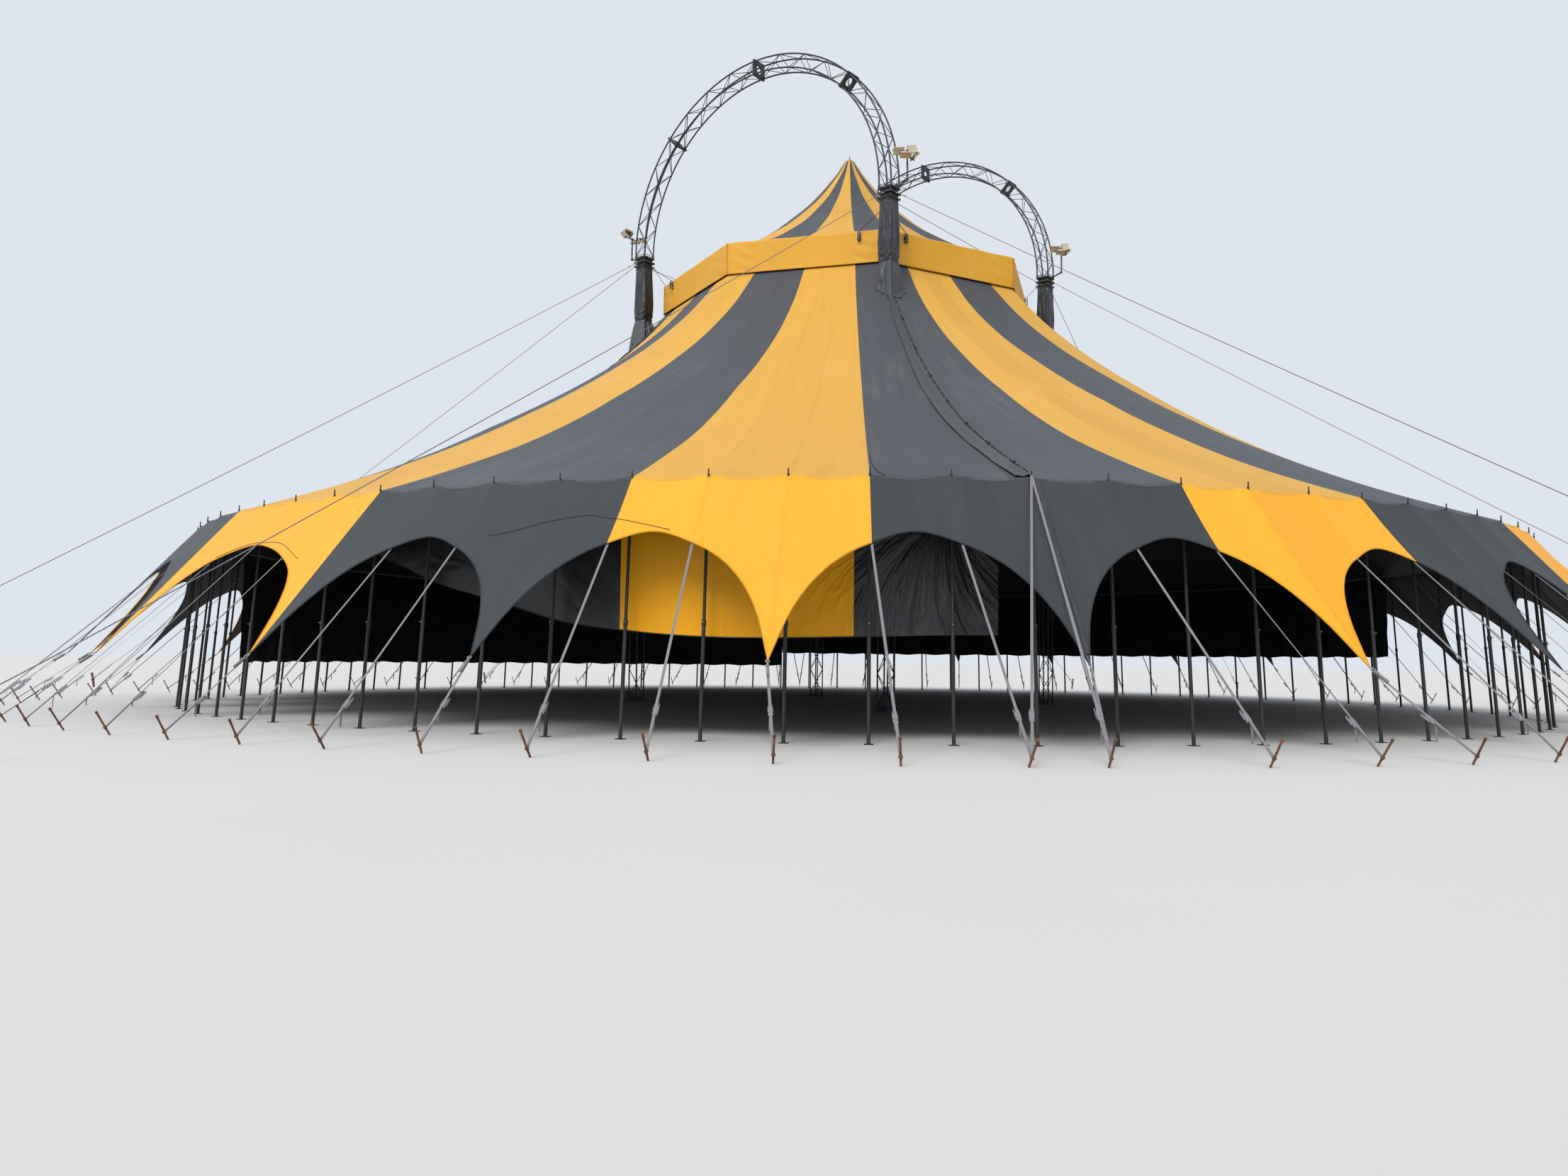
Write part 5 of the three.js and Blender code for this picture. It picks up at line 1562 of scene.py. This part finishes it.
class TENT_OT_guys(PieceOperator, bpy.types.Operator):
    """Guy cables from the mast heads to their ground anchors, with collars, shackles and tensioners"""
    bl_idname = "big_top.guys"
    bl_label = "Guy cables"

    def execute(self, context):
        rig = context.scene.big_top_rigging
        for n, middle, _ in mast_places():
            cables, metal, at_head = [], [], middle + Vector((0, 0, GUY_Z * S))
            for (x0, y0), (x1, y1) in (((-COLLAR_OUT, -COLLAR_OUT), (COLLAR_OUT, -COLLAR_IN)),
                                       ((-COLLAR_OUT, COLLAR_IN), (COLLAR_OUT, COLLAR_OUT)),
                                       ((-COLLAR_OUT, -COLLAR_IN), (-COLLAR_IN, COLLAR_IN)),
                                       ((COLLAR_IN, -COLLAR_IN), (COLLAR_OUT, COLLAR_IN))):
                metal.append(block(at_head + Vector((x0, y0, -0.015)), at_head + Vector((x1, y1, 0.015))))
            for x, y in ANCHORS[n - 1]:
                flat = Vector((x * S - middle.x, y * S - middle.y, 0)).normalized()
                top, foot = Vector((x * S, y * S, ANCHOR_TOP)), Vector((x * S, y * S, 0)) - flat * ANCHOR_LEAN
                hold = foot + (top - foot) * ANCHOR_HOLD
                start = at_head + flat * (0.13 / max(abs(flat.x), abs(flat.y)))
                line = hold - start
                axis, side = line.normalized(), Vector((-flat.y, flat.x, 0))
                a, b = start + axis * WIRE_START, hold - axis * WIRE_END
                # The wire sags a little between its fittings
                path = [start + line * float(t) - Vector((0, 0, GUY_SAG * t * (1 - t)))
                        for t in np.linspace(0, 1, 60)]
                path = [p for p in path if (p - start).length > WIRE_START and (p - hold).length > WIRE_END]
                cables.append(rod([a, *path[1:-1], b], rig.cable))
                metal += [crosswise(a + axis * k, axis, 0.008, 0.012, 8, 0.002) for k in (0.155, 0.185)]
                metal.append(ring(start + axis * 0.026, side, 0.022, 0.0045, "black_steel"))
                metal.append(ring(start + axis * 0.068, side.cross(axis), 0.022, 0.0045))
                metal += self.tensioner(hold, b, axis, side) + self.anchor(foot, top)
            fit(sweep(f"guy_wires_{n}", cables, "wire_rope"), "cable", f"guy_cables_{n}")
            fit(assemble(f"guy_fittings_{n}", metal), "cable")
        return {"FINISHED"}

    def tensioner(self, hold, b, axis, side):
        """Chain block, turnbuckle and shackle between the wire and the anchor"""
        parts = [ring(b + axis * 0.012, side, 0.020, 0.006),
                 drum(b + axis * 0.030, b + axis * 0.13, 0.009, 10, 0.001),
                 drum(b + axis * 0.40, hold - axis * 0.09, 0.009, 10, 0.001),
                 ring(hold - axis * 0.07, side, 0.022, 0.006),
                 ring(hold - axis * 0.028, side.cross(axis), 0.030, 0.007)]
        for offset in (side * -0.017, side * 0.017):
            parts.append(drum(b + axis * 0.11 + offset, b + axis * 0.42 + offset, 0.007, 8, 0.001))
        return parts + [crosswise(b + axis * k, side, 0.024, 0.012, 10, 0.002) for k in (0.115, 0.415)]

    def anchor(self, foot, top):
        at = lambda k: foot + (top - foot) * k
        return [drum(at(0.03), at(0.98), 0.0235, 14, 0.003, "rust_iron"),
                drum(at(0.95), at(1.0), 0.029, 14, 0.006, "rust_iron"),
                drum(at(0.50), at(0.62), 0.030, 14, 0.004, "rust_iron")]


class TENT_OT_stays(PieceOperator, bpy.types.Operator):
    """Taut stays between the mast heads at the open sides"""
    bl_idname = "big_top.stays"
    bl_label = "Head stays"

    def execute(self, context):
        y, z = (MAST_XY - HEAD_HALF) * S - 0.0006, (MAST_TOP + 0.025) * S
        for name, s in (("right", 1), ("left", -1)):
            x = s * MAST_XY * S
            line = [(x, t, z - 0.008 * (1 - (t / y) ** 2)) for t in np.linspace(-y + 0.05, y - 0.05, 40)]
            parts = [sweep("stay_wire", [rod(line, 0.005)], "wire_rope")]
            for e in (-1, 1):
                parts.append(ring((x, e * (y - 0.018), z), (1, 0, 0), 0.015, 0.004, "zinc", 14, 6))
                parts.append(drum((x, e * (y - 0.06), z), (x, e * (y - 0.03), z), 0.009, 10, 0.002))
            parts.append(crosswise((x, 0.3 * s, z - 0.008), (0, 1, 0), 0.07, 0.010, 10, 0.003))
            fit(assemble(f"head_stay_wire_{name}", parts), "cable", f"head_stay_{name}")
        return {"FINISHED"}


class TENT_OT_hoists(PieceOperator, bpy.types.Operator):
    """Hoist blocks with sheaves on the valance, and their ropes up to the mast heads"""
    bl_idname = "big_top.hoists"
    bl_label = "Hoist blocks"

    def execute(self, context):
        pattern = self.block()
        for n, _, az in mast_places():
            out, way = Vector((math.sin(az), -math.cos(az), 0)), Vector(eave_way(az))
            local = lambda r, t, z: (out * r + way * t + Vector((0, 0, z))) * S
            places, ropes = [], []
            lug = local(MAST_XY * math.sqrt(2) - 0.37, 0, 16.22)
            for s in (-1, 1):
                where = local(RING_R - HOIST_T * math.tan(math.pi / 8) + 0.0602, s * HOIST_T, HOIST_Z)
                places.append(turned(where, az + s * math.pi / 8))
                top = where + Vector((0, 0, 0.085))
                for shift in (local(0, -0.012, 0), local(0, 0.012, 0)):
                    middle = top.lerp(lug, 0.5) + shift - Vector((0, 0, 0.004))
                    ropes.append(([top + shift, middle, lug + shift], round_profile(0.0034, 7), (1, 0, 0)))
            parts = [copies(f"hoist_pair_{n}", pattern, places, done=n == 4),
                     sweep(f"hoist_ropes_{n}", ropes, "rope_grey"),
                     ring(lug, way, 0.016, 0.005),
                     drum(lug, lug + Vector((0, 0, 0.018)), 0.008, 8, 0.001)]
            fit(assemble(f"hoist_set_{n}", parts), "block_black", f"hoist_blocks_{n}")
        return {"FINISHED"}

    def block(self):
        """Double block round the origin, its back on +Y"""
        parts = [brick((0, y, 0), (0.025, 0.003, 0.074), 0.0025) for y in (-0.024, 0.020)]
        for z in (-0.041, 0.041):
            parts.append(drum((0, -0.019, z), (0, 0.016, z), 0.0215, 18, 0.004))
            parts.append(drum((0, -0.032, z), (0, 0.024, z), 0.007, 8, 0.001))
        parts.append(drum((0, -0.030, 0), (0, 0.024, 0), 0.005, 8, 0.001))
        parts.append(ring((0, -0.002, 0.084), (1, 0, 0), 0.012, 0.004))
        return assemble("hoist_pattern", parts)


class TENT_OT_lacing(PieceOperator, bpy.types.Operator):
    """Lacing rope and fold band down each mast seam of the roof"""
    bl_idname = "big_top.lacing"
    bl_label = "Lacing"

    def execute(self, context):
        for n, _, az in mast_places():
            # The band covers the seam and lies mostly on the side of the quarter before it
            r, across = np.linspace(*BAND, 90), np.linspace(-0.34, 0.06, 13)
            rr, cc = grid(r, across)
            ruck = 0.012 * np.sin(1.9 * rr + 7 * cc) + 0.009 * np.sin(5.3 * rr - 11 * cc + n)
            roll = np.exp(-((cc + 0.06) / 0.07) ** 2) * (0.035 + 0.014 * np.sin(2.3 * rr + n))
            loose = np.exp(-((cc + 0.30) / 0.05) ** 2) * (0.014 + 0.012 * np.sin(3.1 * rr + 2 * n))
            lift = 0.022 + roll + loose + 0.4 * np.abs(ruck)
            wander = 0.03 * np.sin(0.55 * rr + n) * np.clip((rr - 9) / 3, 0, 1)
            side = cc * (0.40 + 0.60 * np.clip((rr - 8.5) / 5, 0, 1)) + wander
            points = polar(rr, az, roof_z(rr) + lift) + side[:, :, None] * S * eave_way(az)
            # The band's colour is darker than the roof cloth it lies on, painted shade in its folds
            band = cloth(f"fold_band_{n}", points, 0.002, (across * 8, r), ("fold_dark", "canvas_inside"))
            fit(band, "canvas_dark", f"roof_lacing_{n}")
            rope = self.rope(n, az)
            min(cut_area(band), 0.22 * 7.9)
        return {"FINISHED"}

    def rope(self, n, az):
        """Rope that shows in short runs between eyelets, with a knot at some of them"""
        side, runs, parts = eave_way(az), [], []
        for k, start in enumerate(np.arange(BAND[0] + 0.05, 21.6, EYELET)):
            end = start + LOOP
            r = np.linspace(start, end, 7)
            away = 0.085 + 0.014 * np.sin(1.3 * r + n)
            lift = 0.030 + 0.022 * np.sin(math.pi * (r - start) / LOOP)
            path = polar(r, az, roof_z(r) + lift) + (away * S)[:, None] * side
            runs.append((path, round_profile(0.0075, 7), side))
            if k % 4 == 2:
                middle = polar(end, az, float(roof_z(end)) + 0.05) + (0.085 * S) * side
                parts.append(ring(middle, side, 0.013, 0.008, "rope_black", 12, 6))
                parts.append(ring(middle + (0, 0, 0.006), (0, 0, 1), 0.012, 0.007, "rope_black", 12, 6))
        parts.insert(0, sweep(f"lacing_runs_{n}", runs, "rope_black"))
        return fit(assemble(f"lacing_rope_{n}", parts), "canvas_dark")


class TENT_OT_floodlights(PieceOperator, bpy.types.Operator):
    """Floodlights on an arm at each mast head"""
    bl_idname = "big_top.floodlights"
    bl_label = "Floodlights"

    def execute(self, context):
        head, x = HEAD_TOP * S, LAMP_POST_X * S
        low, arm, bar_z, steel = head - 0.0125, head + LAMP_ARM_RISE * S, head + LAMP_BAR, "black_steel"
        lamp = self.lamp()
        # Each lamp by its place from the middle of the bar, its yaw, its tilt towards the floor and its
        # turn in its own plane
        aims = (((-0.04, -0.185, 0.025), -0.9, 0.8, 0), ((0.045, -0.12, -0.035), -0.9, 1.25, 0),
                ((0.045, 0.07, 0.12), -0.45, -0.12, 0.25), ((0.025, 0.19, 0.05), 1.1, 0.75, 0))
        marks = [turned(Vector((x, 0, bar_z)) + Vector(place), yaw) @ Matrix.Rotation(tilt, 4, "Y")
                 @ Matrix.Rotation(roll, 4, "X") for place, yaw, tilt, roll in aims]
        parts = [drum((0.134, 0, low), (x + 0.012, 0, arm), 0.0125, 14, 0.002, steel),
                 upright(x, 0, arm - 0.02, bar_z + 0.02, 0.0115, 14, 0.002, steel),
                 crosswise((x, 0, bar_z), (0, 1, 0), 0.205, 0.0105, 14, 0.002, steel),
                 brick((x, 0, bar_z), (0.018, 0.018, 0.018), 0.003),
                 upright(x, 0.06, bar_z, bar_z + 0.11, 0.008, 10, 0.001, steel),
                 drum((x - 0.01, 0.06, bar_z + 0.10), (x + 0.03, 0.07, bar_z + 0.10), 0.007, 8, 0.001, steel),
                 brick((x, 0, arm + 0.001), (0.016, 0.016, 0.021), 0.003),
                 copies("lamps", lamp, marks)]
        lead = [(x + 0.012, -0.16, bar_z + 0.01), (x + 0.03, -0.09, bar_z - 0.05),
                (x + 0.020, -0.01, bar_z - 0.09), (x + 0.026, 0, bar_z - 0.22),
                (x + 0.016, 0, arm + 0.05), (x - 0.03, 0.004, arm + 0.012), (0.17, 0.004, low + 0.022)]
        parts.append(sweep("lamp_lead", [(lead, round_profile(0.0030, 6), (0, 1, 0))], "rope_black"))
        pattern = assemble("floodlight_pattern", parts)
        at_masts("floodlight_set", pattern, "lamp_body", "floodlights", mirror=True)
        return {"FINISHED"}

    def lamp(self):
        """Flat floodlight, its glass towards +X, with cooling fins and a bracket"""
        body = block((-0.012, -0.085, -0.065), (0.014, 0.085, 0.065), 0.004, "lamp_tan")
        pick(body)
        pick_faces(body, lambda face: face.normal.x > 0.99)
        bpy.ops.mesh.inset(thickness=0.010, depth=-0.003)
        bpy.ops.object.mode_set(mode="OBJECT")
        body.data.materials.append(finish("lamp_glass"))
        for face in body.data.polygons:
            inner = abs(face.center.y) < 0.06 and abs(face.center.z) < 0.045
            if face.normal.x > 0.99 and inner:
                face.material_index = 1
        parts = [body]
        for k in range(9):
            parts.append(brick((-0.0175, -0.07 + 0.0175 * k, 0), (0.0065, 0.0018, 0.055), 0.0, "lamp_tan"))
        parts.append(block((-0.034, -0.022, -0.02), (-0.012, 0.022, 0.025), 0.003))
        for s in (-1, 1):
            parts.append(brick((-0.0205, s * 0.090, 0), (0.0245, 0.002, 0.008), 0.0))
            parts.append(crosswise((0, s * 0.090, 0), (0, s, 0), 0.006, 0.008, 8, 0.001))
        parts.append(brick((-0.045, 0, 0), (0.002, 0.092, 0.008), 0.0))
        return assemble("lamp_pattern", parts)


class TENT_OT_stage(PieceOperator, bpy.types.Operator):
    """Pale floor, soft light and the camera"""
    bl_idname = "big_top.stage"
    bl_label = "Stage"

    def execute(self, context):
        stage = context.scene.big_top_stage
        bpy.ops.object.select_all(action="DESELECT")
        bpy.ops.mesh.primitive_plane_add(size=600, location=(0, 0, 0))
        floor = context.active_object
        floor.name = "floor"
        bpy.ops.object.mode_set(mode="EDIT")
        bpy.ops.mesh.subdivide(number_cuts=6)
        bpy.ops.object.mode_set(mode="OBJECT")
        floor.data.materials.append(floor_finish("floor_pale", stage.floor))
        world = bpy.data.worlds.new("soft_sky")
        context.scene.world = world
        world.use_nodes = True
        sky = world.node_tree.nodes["Background"]
        sky.inputs["Color"].default_value = (0.86, 0.92, 1.0, 1)
        sky.inputs["Strength"].default_value = stage.sky
        for name, turn, strength, spread in (("key", (48, 0, 18), stage.sun, 30),
                                             ("fill", (60, 0, -62), 0.5, 60)):
            lamp = bpy.data.lights.new(name, "SUN")
            lamp.energy, lamp.angle = strength, math.radians(spread)
            obj = bpy.data.objects.new(name, lamp)
            obj.rotation_euler = [math.radians(a) for a in turn]
            context.scene.collection.objects.link(obj)
        context.scene.view_settings.view_transform = "Standard"
        self.camera(context)
        return {"FINISHED"}

    def camera(self, context):
        data = bpy.data.cameras.new("camera")
        data.sensor_width, data.lens = 36, LENS
        data.clip_start, data.clip_end = 0.05, 1000
        data.dof.use_dof = False
        obj = bpy.data.objects.new("camera", data)
        context.scene.collection.objects.link(obj)
        level, right = Vector((*LOOK, 0)), Vector((LOOK[1], -LOOK[0], 0))
        p, r = math.radians(PITCH), math.radians(ROLL)
        ahead = math.cos(p) * level + math.sin(p) * Vector((0, 0, 1))
        up = -math.sin(p) * level + math.cos(p) * Vector((0, 0, 1))
        x = math.cos(r) * right + math.sin(r) * up
        y = -math.sin(r) * right + math.cos(r) * up
        obj.matrix_world = axes(x, y, -ahead, EYE)
        context.scene.camera = obj


OPERATORS = (TENT_OT_side_poles, TENT_OT_straps, TENT_OT_masts, TENT_OT_heads, TENT_OT_arches, TENT_OT_roof,
             TENT_OT_awning, TENT_OT_crown, TENT_OT_sleeves, TENT_OT_curtains, TENT_OT_guys, TENT_OT_stays,
             TENT_OT_hoists, TENT_OT_lacing, TENT_OT_floodlights, TENT_OT_stage)


class TENT_PT_panel(bpy.types.Panel):
    """Lists the pieces of the tent and their sizes and colours"""
    bl_idname = "TENT_PT_panel"
    bl_label = "Big Top"
    bl_space_type = "VIEW_3D"
    bl_region_type = "UI"
    bl_category = "Big Top"

    def draw(self, context):
        for name, group in GROUPS:
            box = self.layout.box()
            for key in group.__annotations__:
                box.prop(getattr(context.scene, name), key)
        for operator in OPERATORS:
            self.layout.operator(operator.bl_idname)


GROUPS = (("big_top_canvas", CanvasSettings), ("big_top_rigging", RiggingSettings),
          ("big_top_stage", StageSettings))


def register():
    for name, group in GROUPS:
        bpy.utils.register_class(group)
        setattr(bpy.types.Scene, name, bpy.props.PointerProperty(type=group))
    for item in (*OPERATORS, TENT_PT_panel):
        bpy.utils.register_class(item)


def unregister():
    for item in reversed((*OPERATORS, TENT_PT_panel)):
        bpy.utils.unregister_class(item)
    for name, group in reversed(GROUPS):
        delattr(bpy.types.Scene, name)
        bpy.utils.unregister_class(group)


def main():
    register()
    for operator in OPERATORS:
        group, name = operator.bl_idname.split(".")
        getattr(getattr(bpy.ops, group), name)()


if __name__ == "__main__":
    main()
